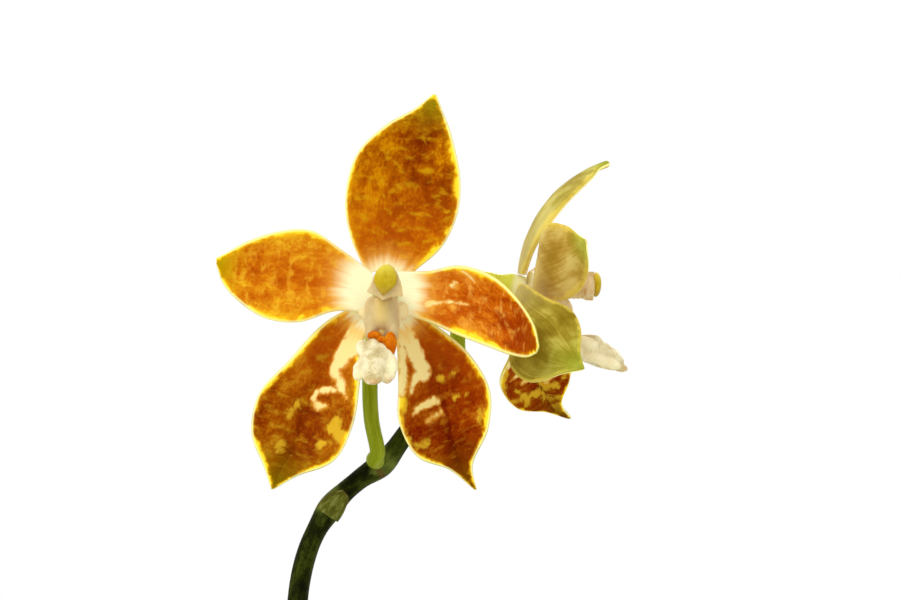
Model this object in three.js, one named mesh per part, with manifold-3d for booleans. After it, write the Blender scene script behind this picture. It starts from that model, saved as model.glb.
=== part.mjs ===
// A potted moth orchid of the fleshy-flowered kind, with two open flowers on one spike.
// Millimetres, +Z up. The origin is the middle of the pot's flat base; the first flower looks along -Y.

import * as THREE from 'three';
import { mergeVertices } from 'three/addons/utils/BufferGeometryUtils.js';
import Module from 'manifold-3d';

const wasm = await Module();
wasm.setup();

// Driving dimensions.
const CLEARANCE = 0.3; // gap that separate pieces keep where they touch

const POT_HEIGHT = 88;
const POT_BASE_RADIUS = 36;
const POT_SHOULDER_RADIUS = 47.5;
const POT_RIM_RADIUS = 52;
const POT_RIM_HEIGHT = 19;
const POT_WALL = 4.6;
const POT_FLOOR = 6;
const DRAIN_HOLES = 3;
const DRAIN_RADIUS = 4.5;
const DRAIN_RING_RADIUS = 19;

const BARK_TOP = 71; // the level that the bark chips are bedded in
const BARK_CHIPS = 32;

const STEM_RADIUS = 6.5;
const STEM_FOOT = 60;
const STEM_TOP = 112;
const LEAF_THICKNESS = 2.2;

const PETAL_THICKNESS = 1.1;
const PETAL_EDGE_THICKNESS = 0.62;
const RECEPTACLE_RADIUS = 2.5;
const PEDICEL_RADIUS = 1.15;
const SPIKE_RADIUS = 1.55;
const BRACT_THICKNESS = 0.65;

const FLOWER_1_CENTRE = new THREE.Vector3(-1.5, -7, 241.2);
const FLOWER_2_CENTRE = new THREE.Vector3(18.9, 8, 241.5);

// Surface colours, roughness and metalness.
const material = (color, roughness) => new THREE.MeshStandardMaterial({ color, roughness, metalness: 0 });
const MATERIALS = {
  terracotta: material(0xb5623c, 0.85),
  bark: material(0x6b4529, 0.9),
  leaf: material(0x3f6b2a, 0.45),
  crown: material(0x6d7f3c, 0.6),
  root: material(0x9aa38a, 0.75),
  spike: material(0x33421a, 0.5),
  bract: material(0x8f8b55, 0.8),
  pedicel: material(0x8c8a1a, 0.45),
  petal: material(0xc4601a, 0.4),
  lip: material(0xe9dcae, 0.45),
  callus: material(0xd46606, 0.35),
  column: material(0xdcc79a, 0.45),
  anther: material(0xc5ab31, 0.4),
};

const plant = new THREE.Group();

// Adds one named solid to a group.
function addPiece(name, geometry, look, parent = plant) {
  const mesh = new THREE.Mesh(geometry, look);
  mesh.name = name;
  parent.add(mesh);
  return mesh;
}

const lerp = THREE.MathUtils.lerp;
const smoothstep = THREE.MathUtils.smoothstep;
const radians = THREE.MathUtils.degToRad;
const bump = (x, centre, width) => Math.exp(-(((x - centre) / width) ** 2));

// Solids are joined and cut through these two conversions.
function toSolid(geometry) {
  const bare = geometry.clone();
  bare.deleteAttribute('normal');
  bare.deleteAttribute('uv');
  const merged = mergeVertices(bare, 1e-4);
  const vertProperties = Float32Array.from(merged.attributes.position.array);
  const triVerts = Uint32Array.from(merged.index.array);
  return new wasm.Manifold(new wasm.Mesh({ numProp: 3, vertProperties, triVerts }));
}

function toGeometry(solid) {
  const mesh = solid.getMesh();
  const geometry = new THREE.BufferGeometry();
  geometry.setAttribute('position', new THREE.BufferAttribute(mesh.vertProperties, 3));
  geometry.setIndex(new THREE.BufferAttribute(mesh.triVerts, 1));
  geometry.computeVertexNormals();
  return geometry;
}

function indexedGeometry(vertices, triangles) {
  const geometry = new THREE.BufferGeometry();
  geometry.setFromPoints(vertices);
  geometry.setIndex(triangles);
  geometry.computeVertexNormals();
  return geometry;
}

// A closed blade over a surface point(t, u), with t from base to tip and u from -1 to 1 across.
// Both faces are split along the same diagonals, so a curled blade keeps its thickness everywhere.
function bladeGeometry(point, thickness, steps, columns) {
  const vertices = [];
  const small = 1e-3;
  const rowSize = columns + 1;
  for (const side of [0.5, -0.5]) {
    for (let i = 0; i <= steps; i += 1) {
      for (let k = 0; k <= columns; k += 1) {
        const t = i / steps;
        const u = (2 * k) / columns - 1;
        const along = point(Math.min(t + small, 1), u).sub(point(Math.max(t - small, 0), u));
        const across = point(t, Math.min(u + small, 1)).sub(point(t, Math.max(u - small, -1)));
        const normal = along.cross(across).normalize();
        vertices.push(point(t, u).addScaledVector(normal, side * thickness(t, u)));
      }
    }
  }
  const back = (steps + 1) * rowSize;
  const at = (i, k) => i * rowSize + k;
  const triangles = [];
  const quad = (a, b, c, d) => triangles.push(a, b, c, a, c, d);
  for (let i = 0; i < steps; i += 1) {
    for (let k = 0; k < columns; k += 1) {
      triangles.push(at(i, k), at(i + 1, k), at(i + 1, k + 1));
      triangles.push(at(i, k), at(i + 1, k + 1), at(i, k + 1));
      triangles.push(back + at(i, k), back + at(i + 1, k + 1), back + at(i + 1, k));
      triangles.push(back + at(i, k), back + at(i, k + 1), back + at(i + 1, k + 1));
    }
    quad(at(i, 0), back + at(i, 0), back + at(i + 1, 0), at(i + 1, 0));
    quad(at(i + 1, columns), back + at(i + 1, columns), back + at(i, columns), at(i, columns));
  }
  for (let k = 0; k < columns; k += 1) {
    quad(at(0, k + 1), back + at(0, k + 1), back + at(0, k), at(0, k));
    quad(at(steps, k), back + at(steps, k), back + at(steps, k + 1), at(steps, k + 1));
  }
  return indexedGeometry(vertices, triangles);
}

// A closed tube along a curve; radius(t) gives one radius, or a pair for an oval section.
function tubeGeometry(curve, radius, sides, steps) {
  const frames = curve.computeFrenetFrames(steps);
  const vertices = [];
  const triangles = [];
  for (let i = 0; i <= steps; i += 1) {
    const t = i / steps;
    const centre = curve.getPointAt(t);
    const [wide, deep] = [radius(t)].flat();
    for (let k = 0; k < sides; k += 1) {
      const angle = (k / sides) * Math.PI * 2;
      const offset = frames.normals[i].clone().multiplyScalar(wide * Math.cos(angle));
      offset.addScaledVector(frames.binormals[i], (deep ?? wide) * Math.sin(angle));
      vertices.push(centre.clone().add(offset));
    }
  }
  for (let i = 0; i < steps; i += 1) {
    for (let k = 0; k < sides; k += 1) {
      const next = (k + 1) % sides;
      const low = i * sides;
      const high = low + sides;
      triangles.push(low + k, low + next, high + next, low + k, high + next, high + k);
    }
  }
  const first = vertices.push(curve.getPointAt(0)) - 1;
  const last = vertices.push(curve.getPointAt(1)) - 1;
  const end = steps * sides;
  for (let k = 0; k < sides; k += 1) {
    const next = (k + 1) % sides;
    triangles.push(first, next, k, last, end + k, end + next);
  }
  return indexedGeometry(vertices, triangles);
}

const curveThrough = (points) => new THREE.CatmullRomCurve3(points.map((p) => new THREE.Vector3(...p)));

// The pot: a tapered clay wall under a thick rim, with drainage holes round the solid middle.
const innerRadius = (z) => {
  const share = (z - POT_FLOOR) / (POT_HEIGHT - POT_FLOOR);
  return lerp(POT_BASE_RADIUS - POT_WALL + 0.8, POT_SHOULDER_RADIUS - POT_WALL + 2.6, share);
};

function makePot() {
  const shoulder = POT_HEIGHT - POT_RIM_HEIGHT;
  const profile = [
    [0, 0], [POT_BASE_RADIUS - 1.2, 0], [POT_BASE_RADIUS, 1.2], [POT_SHOULDER_RADIUS, shoulder],
    [POT_RIM_RADIUS - 1.2, shoulder + 0.6], [POT_RIM_RADIUS - 0.3, shoulder + 2.2],
    [POT_RIM_RADIUS, POT_HEIGHT - 2.4], [POT_RIM_RADIUS - 1.6, POT_HEIGHT - 0.3],
    [innerRadius(POT_HEIGHT) + 1.2, POT_HEIGHT], [innerRadius(POT_HEIGHT - 2), POT_HEIGHT - 2],
    [innerRadius(POT_FLOOR), POT_FLOOR], [0, POT_FLOOR],
  ];
  const turned = new THREE.LatheGeometry(profile.map((p) => new THREE.Vector2(...p)), 40);
  turned.rotateX(Math.PI / 2);
  let clay = toSolid(turned);
  for (let i = 0; i < DRAIN_HOLES; i += 1) {
    const angle = ((i + 0.25) / DRAIN_HOLES) * Math.PI * 2;
    const drill = new THREE.CylinderGeometry(DRAIN_RADIUS, DRAIN_RADIUS, POT_FLOOR * 3, 16);
    drill.rotateX(Math.PI / 2);
    drill.translate(DRAIN_RING_RADIUS * Math.cos(angle), DRAIN_RING_RADIUS * Math.sin(angle), 0);
    clay = clay.subtract(toSolid(drill));
  }
  addPiece('pot', toGeometry(clay), MATERIALS.terracotta);
}

// Aerial roots leave the foot of the stem and dive into the bark; one climbs over the rim.
const ROOT_RADIUS = 2.3;
const ROOT_PATHS = [
  [[5.8, 4.0, 77.5], [8.6, 5.9, 78.2], [19, 12, 81], [27, 18, 76.5], [30, 21, 68], [31, 23, 60]],
  [[-3.6, 6.1, 78], [-5.4, 8.9, 78.6], [-12, 20, 81.5], [-19, 28, 77], [-22, 31, 69], [-23, 32, 61]],
  [[-5.5, -4.5, 77.5], [-8.2, -6.8, 78], [-14, -17, 80.5], [-17, -26, 76], [-18, -30, 68], [-18, -31, 60]],
  [[5.2, -4.8, 78], [8.0, -7.2, 79], [17, -20, 85], [27.5, -38, 92.5], [33.5, -48, 87], [34.5, -49.5, 66],
    [32, -46.5, 44]],
];

const rootCurve = (path) => curveThrough(path);
const rootRadius = (t) => {
  return ROOT_RADIUS * (1 - 0.35 * smoothstep(t, 0.7, 1)) * (1 - 0.5 * smoothstep(t, 0.97, 1));
};

function makeRoots() {
  ROOT_PATHS.forEach((path, index) => {
    addPiece(`root_${index + 1}`, tubeGeometry(rootCurve(path), rootRadius, 10, 16), MATERIALS.root);
  });
}

// A small repeatable random draw for the bark.
function seededRandom(seed) {
  let state = seed;
  return () => {
    state = (state * 1664525 + 1013904223) % 4294967296;
    return state / 4294967296;
  };
}

// The potting bark: one bedded body with chips standing out of its top, and holes for stem and roots.
function barkChip(random) {
  const chip = new THREE.BoxGeometry(lerp(14, 23, random()), lerp(9, 14, random()), lerp(4, 7, random()));
  const corners = chip.attributes.position;
  for (let i = 0; i < corners.count; i += 1) {
    const taper = 1 - 0.28 * Math.sign(corners.getX(i)) * Math.sign(corners.getY(i) + 2 * corners.getZ(i));
    corners.setY(i, corners.getY(i) * taper);
  }
  chip.rotateX(lerp(-0.5, 0.5, random()));
  chip.rotateY(lerp(-0.45, 0.45, random()));
  chip.rotateZ(random() * Math.PI);
  return chip;
}

function makeBark() {
  const random = seededRandom(41);
  const low = POT_FLOOR + CLEARANCE;
  const wall = (z) => innerRadius(z) - CLEARANCE - 0.1;
  const bed = [[0, low], [wall(low), low], [wall(BARK_TOP), BARK_TOP], [0, BARK_TOP]];
  const room = [[0, low], [wall(low), low], [wall(POT_HEIGHT), POT_HEIGHT], [0, POT_HEIGHT]];
  const turn = (profile) => {
    const turned = new THREE.LatheGeometry(profile.map((p) => new THREE.Vector2(...p)), 32);
    return toSolid(turned.rotateX(Math.PI / 2));
  };
  let bark = turn(bed);
  for (let i = 0; i < BARK_CHIPS; i += 1) {
    const chip = barkChip(random);
    const radius = (wall(BARK_TOP) - 3) * Math.sqrt((i + 0.5) / BARK_CHIPS);
    const angle = i * 2.39996 + random();
    const height = BARK_TOP + lerp(-0.6, 1.8, random());
    chip.translate(radius * Math.cos(angle), radius * Math.sin(angle), height);
    bark = bark.add(toSolid(chip));
  }
  bark = bark.intersect(turn(room));
  const stemHole = new THREE.CylinderGeometry(STEM_RADIUS + 0.5, STEM_RADIUS + 0.5, 60, 20);
  stemHole.rotateX(Math.PI / 2);
  stemHole.translate(0, 0, STEM_FOOT - CLEARANCE + 30);
  bark = bark.subtract(toSolid(stemHole));
  for (const path of ROOT_PATHS) {
    const hole = tubeGeometry(rootCurve(path), (t) => rootRadius(t) + CLEARANCE + 0.15, 10, 16);
    bark = bark.subtract(toSolid(hole));
  }
  const deep = new THREE.CylinderGeometry(ROOT_RADIUS + 0.4, ROOT_RADIUS + 0.4, 8, 10).rotateX(Math.PI / 2);
  for (const path of ROOT_PATHS.slice(0, 3)) {
    const [x, y, z] = path.at(-1);
    bark = bark.subtract(toSolid(deep.clone().translate(x, y, z + 1)));
  }
  const pieces = bark.decompose();
  pieces.sort((a, b) => b.volume() - a.volume());
  addPiece('potting_bark', toGeometry(pieces[0]), MATERIALS.bark);
}

// The short stem that carries the leaves, ringed where old leaves came away.
function makeStem() {
  const height = STEM_TOP - STEM_FOOT;
  const rows = 12;
  const profile = [new THREE.Vector2(0, STEM_FOOT)];
  for (let i = 0; i <= rows; i += 1) {
    const t = i / rows;
    const crown = Math.sqrt(Math.max(0, 1 - smoothstep(t, 0.78, 1) ** 2 * 0.86));
    const ring = 0.25 * Math.sin(t * 26) * (1 - smoothstep(t, 0.35, 0.5));
    profile.push(new THREE.Vector2((STEM_RADIUS - 0.3 + ring) * crown, STEM_FOOT + height * t));
  }
  profile.push(new THREE.Vector2(0, STEM_TOP));
  const turned = new THREE.LatheGeometry(profile, 16);
  addPiece('plant_stem', turned.rotateX(Math.PI / 2), MATERIALS.crown);
}

// Leaves: two ranks of thick, channelled blades that clasp the stem and arch outwards.
// heading is the compass angle, foot the height of the sheath, rise the slope at mid-leaf, fall at the tip.
const LEAVES = [
  { heading: 4, foot: 83, length: 128, width: 40, rise: 24, fall: -34 },
  { heading: 183, foot: 87.5, length: 134, width: 42, rise: 30, fall: -30 },
  { heading: -4, foot: 94.5, length: 126, width: 41, rise: 42, fall: -24 },
  { heading: 176, foot: 99, length: 112, width: 38, rise: 50, fall: -12 },
  { heading: 6, foot: 105.5, length: 82, width: 31, rise: 66, fall: 22 },
];
const LEAF_OUTLINE = [[0, 9.4], [0.08, 8.8], [0.2, 11.4], [0.42, 17.6], [0.64, 20.5], [0.83, 17.6],
  [0.94, 11.4], [0.985, 5.6], [1, 2.2]];
const OUTLINE_HALF_WIDTH = 20.5;

function outlineAt(outline, t) {
  const next = Math.max(1, outline.findIndex((p) => p[0] >= t));
  const points = [next - 2, next - 1, next, next + 1].map((i) => {
    return outline[THREE.MathUtils.clamp(i, 0, outline.length - 1)];
  });
  const [before, low, high, after] = points;
  const span = high[0] - low[0];
  const s = (t - low[0]) / span;
  const slopeIn = ((high[1] - before[1]) / (high[0] - before[0])) * span;
  const slopeOut = ((after[1] - low[1]) / (after[0] - low[0])) * span;
  const h = [2 * s ** 3 - 3 * s ** 2 + 1, s ** 3 - 2 * s ** 2 + s, s ** 3 - s ** 2, 3 * s ** 2 - 2 * s ** 3];
  return h[0] * low[1] + h[1] * slopeIn + h[2] * slopeOut + h[3] * high[1];
}

// The slope of a leaf's midrib: steep in the sheath, then falling evenly to the tip.
function leafSlope(leaf, t) {
  const sheath = 1 - smoothstep(t * leaf.length, 3, 20);
  return radians(lerp(lerp(leaf.rise, leaf.fall, t ** 1.15), 86, sheath));
}

function leafSurface(leaf) {
  const rows = 160;
  const spine = [new THREE.Vector2(STEM_RADIUS + 0.35 + LEAF_THICKNESS / 2, leaf.foot)];
  for (let i = 0; i < rows; i += 1) {
    const slope = leafSlope(leaf, (i + 0.5) / rows);
    const step = new THREE.Vector2(Math.cos(slope), Math.sin(slope));
    spine.push(spine[i].clone().addScaledVector(step, leaf.length / rows));
  }
  const turn = new THREE.Matrix4().makeRotationZ(radians(leaf.heading));
  return (t, u) => {
    const place = t * rows;
    const low = Math.min(Math.floor(place), rows - 1);
    const middle = spine[low].clone().lerp(spine[low + 1], place - low);
    const slope = leafSlope(leaf, t);
    const widening = lerp(1, leaf.width / 2 / OUTLINE_HALF_WIDTH, smoothstep(t, 0.05, 0.4));
    const w = u * outlineAt(LEAF_OUTLINE, t) * widening;
    const open = smoothstep(t * leaf.length, 2, 46);
    const curvature = lerp(1 / (STEM_RADIUS + 0.35 + LEAF_THICKNESS / 2), 1 / 52, open ** 0.7);
    const side = Math.sin(curvature * w) / curvature;
    const channel = 1.5 * open * (1 - bump(w, 0, 5)) + 0.5 * open * u * u * Math.sin(9 * t + leaf.heading);
    const lift = (1 - Math.cos(curvature * w)) / curvature + channel;
    const x = middle.x - Math.sin(slope) * lift;
    const z = middle.y + Math.cos(slope) * lift;
    return new THREE.Vector3(x, side, z).applyMatrix4(turn);
  };
}

function makeLeaves() {
  LEAVES.forEach((leaf, index) => {
    const thickness = (t, u) => LEAF_THICKNESS * (1 - 0.45 * u * u) * (1 - 0.4 * smoothstep(t, 0.7, 1));
    addPiece(`leaf_${index + 1}`, bladeGeometry(leafSurface(leaf), thickness, 15, 6), MATERIALS.leaf);
  });
}

// The flower spike leaves the stem between the leaf ranks and zigzags through its nodes to a small bud.
const SPIKE_PATH = [[0, -8.6, 92], [-0.4, -12.5, 98], [-3, -16, 115], [-9, -13.5, 145], [-14, -6, 175],
  [-14.8, -1, 195], [-13.4, 0, 202.2], [-11.3, 0.5, 206.8], [-8.8, 0.8, 210.2], [-5.6, 1, 213],
  [-1.9, 1, 215.6], [1.3, 1, 219.8], [4.9, 1, 224.8], [4.0, 2.4, 228.6], [1.8, 3.6, 231.6]];
const spikeCurve = curveThrough(SPIKE_PATH);
const spikeShareAt = (index) => {
  const lengths = spikeCurve.getLengths(1400);
  return lengths[Math.round((index / (SPIKE_PATH.length - 1)) * 1400)] / lengths[1400];
};
const SPIKE_NODES = {
  lower_bract: spikeShareAt(2.2),
  middle_bract: spikeShareAt(4.1),
  upper_bract: spikeShareAt(7.55),
  flower_1: spikeShareAt(9.85),
  flower_2: spikeShareAt(12),
};

function spikeRadius(t) {
  const taper = lerp(SPIKE_RADIUS + 0.35, SPIKE_RADIUS - 0.15, t);
  const joints = Object.values(SPIKE_NODES).reduce((sum, node) => sum + 0.4 * bump(t, node, 0.016), 0);
  const thin = 1 - 0.42 * smoothstep(t, SPIKE_NODES.flower_2 + 0.005, SPIKE_NODES.flower_2 + 0.03);
  const bud = 0.75 * bump(t, 0.985, 0.014);
  const point = Math.sqrt(1 - smoothstep(t, 0.982, 1) ** 2 * 0.9);
  return (taper * thin + joints + bud) * point;
}

// A papery bract wraps half of the spike just above a node and flares at its tip.
function bractSurface({ node, heading, length, reach, flare }) {
  const total = spikeCurve.getLength();
  return (t, u) => {
    const share = SPIKE_NODES[node] + ((t - 0.25) * length) / total;
    const centre = spikeCurve.getPointAt(share);
    const tangent = spikeCurve.getTangentAt(share);
    const side = new THREE.Vector3(Math.cos(radians(heading)), Math.sin(radians(heading)), 0);
    side.addScaledVector(tangent, -side.dot(tangent)).normalize();
    const other = tangent.clone().cross(side);
    const angle = u * radians(reach) * Math.sqrt(1 - 0.9 * t * t);
    const radius = spikeRadius(share) + CLEARANCE + 0.4 + flare * t * t;
    centre.addScaledVector(side, radius * Math.cos(angle));
    return centre.addScaledVector(other, radius * Math.sin(angle));
  };
}

const BRACTS = [
  { node: 'lower_bract', heading: -20, length: 11, reach: 74, flare: 0.8 },
  { node: 'middle_bract', heading: 175, length: 9, reach: 72, flare: 0.6 },
  { node: 'upper_bract', heading: -80, length: 4.4, reach: 62, flare: 0 },
];

function makeSpike() {
  addPiece('flower_spike', tubeGeometry(spikeCurve, spikeRadius, 8, 56), MATERIALS.spike);
  for (const bract of BRACTS) {
    const blade = bladeGeometry(bractSurface(bract), () => BRACT_THICKNESS, 6, 4);
    addPiece(`spike_${bract.node}`, blade, MATERIALS.bract);
  }
}

// Petals and sepals. Each edge runs from base to tip as [across, up] from the flower's centre,
// as seen from the front. bend is the forward lean at base and tip, cup the lift of the edges.
const BLADES = {
  dorsal_sepal: {
    left: [[-2.9, 3], [-5.1, 8.1], [-5.8, 13.6], [-4, 20.3], [0.5, 24.6], [4.6, 27.1], [7.2, 29.3]],
    right: [[4.3, 3], [8.3, 6.6], [10.6, 11.4], [11, 17], [9.9, 22.6], [8.6, 26.6], [7.7, 29.2]],
    layer: 0, bend: [4, 20], cup: 1.3, crease: 0,
  },
  petal_left: {
    left: [[-1.9, -3.2], [-7.2, -2.8], [-12.6, -4.4], [-17.5, -3.8], [-21.5, -1.2],
      [-23.8, 1.4], [-24.8, 4.1]],
    right: [[-1.9, 2.9], [-6.2, 6], [-10.8, 8.95], [-15.8, 8.7], [-20.2, 7.25],
      [-22.9, 5.9], [-24.8, 4.95]],
    layer: 1.5, bend: [8, 14], cup: 1.4, crease: 0,
  },
  petal_right: {
    left: [[1.9, 3], [6.5, 3], [11, 3.7], [16.1, 2], [20.4, -1.8], [23.1, -5.6], [24, -8.6]],
    right: [[1.9, -3], [6.6, -4.5], [11.2, -6.5], [15.8, -8.2], [19.6, -9.6],
      [22.2, -10], [23.6, -9.5]],
    layer: 1.5, bend: [10, 34], cup: 1.8, crease: 0,
  },
  lateral_sepal_left: {
    left: [[-0.6, -3.3], [-3.4, -7.4], [-3.8, -13.6], [-4.7, -19.4], [-7.4, -24.6],
      [-12.8, -27], [-16.3, -29.1]],
    right: [[-3.7, -1.7], [-8.6, -4.4], [-14.2, -10.3], [-18.4, -15.1], [-19.4, -20.6],
      [-17.7, -25.7], [-16.7, -29.1]],
    layer: 0, bend: [3, 16], cup: 2, crease: 1.1,
  },
  lateral_sepal_right: {
    left: [[2.9, -1.8], [7.6, -5.1], [12.3, -9.2], [15.3, -14.4], [15.1, -20],
      [12.9, -25.6], [13.6, -29.2]],
    right: [[0.6, -3.3], [1.7, -7.4], [2, -13.2], [2.1, -19], [4.8, -24.1],
      [9.6, -26.2], [13.2, -29.2]],
    layer: 0, bend: [3, 16], cup: 2, crease: 1.1,
  },
};

const edgeCurve = (points) => new THREE.CatmullRomCurve3(points.map(([x, z]) => new THREE.Vector3(x, 0, z)));

const FULL_LIFT_WIDTH = 10; // where a blade is narrower than this, its cup and crease flatten out

// turn swings a blade in the flower's plane, twist rolls it about its own length, size scales the flower.
function bladeSurface(blade, pose) {
  const { size = 1, turn = 0, twist = 0, bend = blade.bend, cup = blade.cup, layer = blade.layer } = pose;
  const left = edgeCurve(blade.left);
  const right = edgeCurve(blade.right);
  const base = left.getPoint(0).lerp(right.getPoint(0), 0.5);
  const axis = left.getPoint(1).lerp(right.getPoint(1), 0.5).sub(base);
  const length = axis.length();
  axis.normalize();
  const aside = new THREE.Vector3(0, 1, 0).cross(axis);
  const start = radians(bend[0]);
  const curl = (radians(bend[1]) - start) / length;
  const swing = new THREE.Matrix4().makeRotationY(radians(turn));
  return (t, u) => {
    const leftPoint = left.getPoint(t);
    const rightPoint = right.getPoint(t);
    const width = leftPoint.distanceTo(rightPoint);
    const flat = leftPoint.lerp(rightPoint, (u + 1) / 2).sub(base);
    const reach = flat.dot(axis);
    const across = flat.dot(aside);
    const lean = start + curl * reach;
    const edgeLift = cup * u * u * Math.sin(Math.PI * Math.min(1, t * 0.86 + 0.1));
    const groove = blade.crease * bump(u, 0, 0.3) * smoothstep(t, 0.12, 0.5);
    const lift = (edgeLift - groove) * smoothstep(width, 0, FULL_LIFT_WIDTH);
    const roll = radians(twist) * smoothstep(t, 0, 0.6);
    const side = across * Math.cos(roll) - lift * Math.sin(roll);
    const rise = across * Math.sin(roll);
    const along = (Math.sin(lean) - Math.sin(start)) / curl - rise * Math.sin(lean);
    const depth = (Math.cos(start) - Math.cos(lean)) / curl + rise * Math.cos(lean) + lift * Math.cos(roll);
    const place = base.clone().addScaledVector(axis, along).addScaledVector(aside, side);
    place.applyMatrix4(swing);
    place.y -= depth + layer;
    return place.multiplyScalar(size);
  };
}

const bladeThickness = (t, u) => lerp(PETAL_THICKNESS, PETAL_EDGE_THICKNESS, u * u * (1 - 0.5 * (1 - t)));

// The lip: two erect cheeks on a narrow claw and a crumpled front lobe, with an orange callus between.
function ellipsoid(centre, radii, detail = 3) {
  const ball = new THREE.IcosahedronGeometry(1, detail);
  ball.scale(...radii);
  return ball.translate(...centre);
}

function crumpledLobe(centre, radii, droop) {
  const lobe = new THREE.IcosahedronGeometry(1, 3);
  const places = lobe.attributes.position;
  const p = new THREE.Vector3();
  for (let i = 0; i < places.count; i += 1) {
    p.fromBufferAttribute(places, i);
    const folds = 0.1 * Math.sin(7 * p.x + 2 * p.z) * Math.cos(5 * p.z - 3 * p.x);
    const lumps = 0.08 * Math.sin(9 * p.z + 4 * p.y + 1) + 0.06 * Math.cos(11 * p.x);
    const flare = 1 + 0.22 * smoothstep(-p.z, -0.2, 0.9) - 0.25 * smoothstep(p.z, 0.2, 1);
    p.multiplyScalar(1 + folds + lumps);
    places.setXYZ(i, p.x * flare * radii[0], p.y * radii[1], p.z * radii[2]);
  }
  return lobe.rotateX(radians(droop)).translate(...centre);
}

const CALLUS_LOBES = [
  { centre: [-1.1, -9.0, -6.2], radii: [1.3, 1.0, 0.8] },
  { centre: [0.2, -9.4, -6.8], radii: [0.9, 1.0, 1.0] },
  { centre: [1.0, -9.9, -7.6], radii: [0.95, 1.2, 1.8] },
];

const LIP_HINGE = new THREE.Vector3(0, -2.9, -2.5);
const LOBE_CENTRE = [-1.3, -13.9, -10.3];
const COLUMN_HINGE = new THREE.Vector3(0, -1, 0);

// Lowers the front of a piece by some degrees about a hinge on the flower's middle plane.
function lowered(geometry, hinge, degrees) {
  geometry.translate(-hinge.x, -hinge.y, -hinge.z);
  return geometry.rotateX(radians(degrees)).translate(hinge.x, hinge.y, hinge.z);
}

// The lip's lobe made longer, thicker and more level, from none of it (0) to all of it (1).
function fuller(geometry, amount) {
  const places = geometry.attributes.position;
  const [, lobeY, lobeZ] = LOBE_CENTRE;
  for (let i = 0; i < places.count; i += 1) {
    const ahead = lobeY - places.getY(i);
    const share = amount * smoothstep(ahead, -5.4, -1.9);
    const height = (places.getZ(i) - lobeZ) * (1 + 0.2 * share) + share * (0.21 * ahead - 0.3);
    places.setY(i, lobeY - ahead - 0.14 * share * (ahead + 4.9));
    places.setZ(i, lobeZ + height);
  }
  return geometry;
}

function makeLip(addFlowerPiece, droop, fullness) {
  const clawPath = curveThrough([[0, -2.9, -2.5], [0, -5.2, -5.2], [-0.3, -8.0, -8.2], [-0.9, -10.2, -9.4]]);
  let lip = toSolid(tubeGeometry(clawPath, (t) => [lerp(1.2, 2.3, t), lerp(1, 1.4, t)], 10, 6));
  for (const side of [-1, 1]) {
    const cheek = ellipsoid([0, 0, 0], [1.2, 2.3, 2.8], 1);
    cheek.rotateX(radians(-14)).rotateZ(radians(-10 * side)).translate(side * 1.35 - 0.35, -6.8, -4.1);
    lip = lip.add(toSolid(cheek));
  }
  lip = lip.add(toSolid(crumpledLobe(LOBE_CENTRE, [2.7, 5.1, 2.5], 24)));
  let callus = null;
  for (const { centre, radii } of CALLUS_LOBES) {
    const lobe = toSolid(ellipsoid(centre, radii, 1));
    callus = callus ? callus.add(lobe) : lobe;
    lip = lip.subtract(toSolid(ellipsoid(centre, radii.map((r) => r + CLEARANCE + 0.05), 1)));
  }
  const parts = lip.decompose().sort((a, b) => b.volume() - a.volume());
  const posed = (solid) => lowered(fuller(toGeometry(solid), fullness), LIP_HINGE, droop);
  addFlowerPiece('lip', posed(parts[0]), MATERIALS.lip);
  addFlowerPiece('lip_callus', posed(callus), MATERIALS.callus);
}

// The column stands out of the flower's centre, hooded at its tip, and carries the anther cap.
const COLUMN_PATH = [[0, -1.0, -0.3], [0, -5.6, 0.3], [0.1, -9.6, 0.9], [0.2, -13.0, 1.1]];

function makeColumn(addFlowerPiece, nod) {
  const section = (t) => [lerp(1.5, 2.5, smoothstep(t, 0.1, 0.85)), lerp(1.5, 2.4, smoothstep(t, 0, 0.8))];
  const column = tubeGeometry(curveThrough(COLUMN_PATH), section, 14, 8);
  addFlowerPiece('column', lowered(column, COLUMN_HINGE, nod), MATERIALS.column);
  const cap = new THREE.SphereGeometry(1, 14, 8);
  const places = cap.attributes.position;
  for (let i = 0; i < places.count; i += 1) {
    const z = places.getY(i);
    const beak = 1 - 0.45 * smoothstep(-z, 0.1, 1);
    places.setXYZ(i, places.getX(i) * 1.5 * beak, -places.getZ(i) * 0.85, z * 2.15);
  }
  const cut = new THREE.BoxGeometry(8, 4, 8).translate(0, 2, 0);
  const front = toSolid(cap).subtract(toSolid(cut));
  const seated = toGeometry(front).translate(0.2, -13.05 - CLEARANCE, 1.65);
  addFlowerPiece('anther_cap', lowered(seated, COLUMN_HINGE, nod), MATERIALS.anther);
}

function makeFlower(name, { centre, yaw, size, poses, droop, fullness, nod }) {
  const flower = new THREE.Group();
  flower.position.copy(centre);
  flower.rotation.z = radians(yaw);
  plant.add(flower);
  const addFlowerPiece = (piece, geometry, look) => {
    return addPiece(`${name}_${piece}`, geometry.scale(size, size, size), look, flower);
  };
  for (const [piece, blade] of Object.entries(BLADES)) {
    const surface = bladeSurface(blade, { size, ...poses[piece] });
    addPiece(`${name}_${piece}`, bladeGeometry(surface, bladeThickness, 11, 6), MATERIALS.petal, flower);
  }
  makeLip(addFlowerPiece, droop, fullness);
  makeColumn(addFlowerPiece, nod);
}

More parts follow.
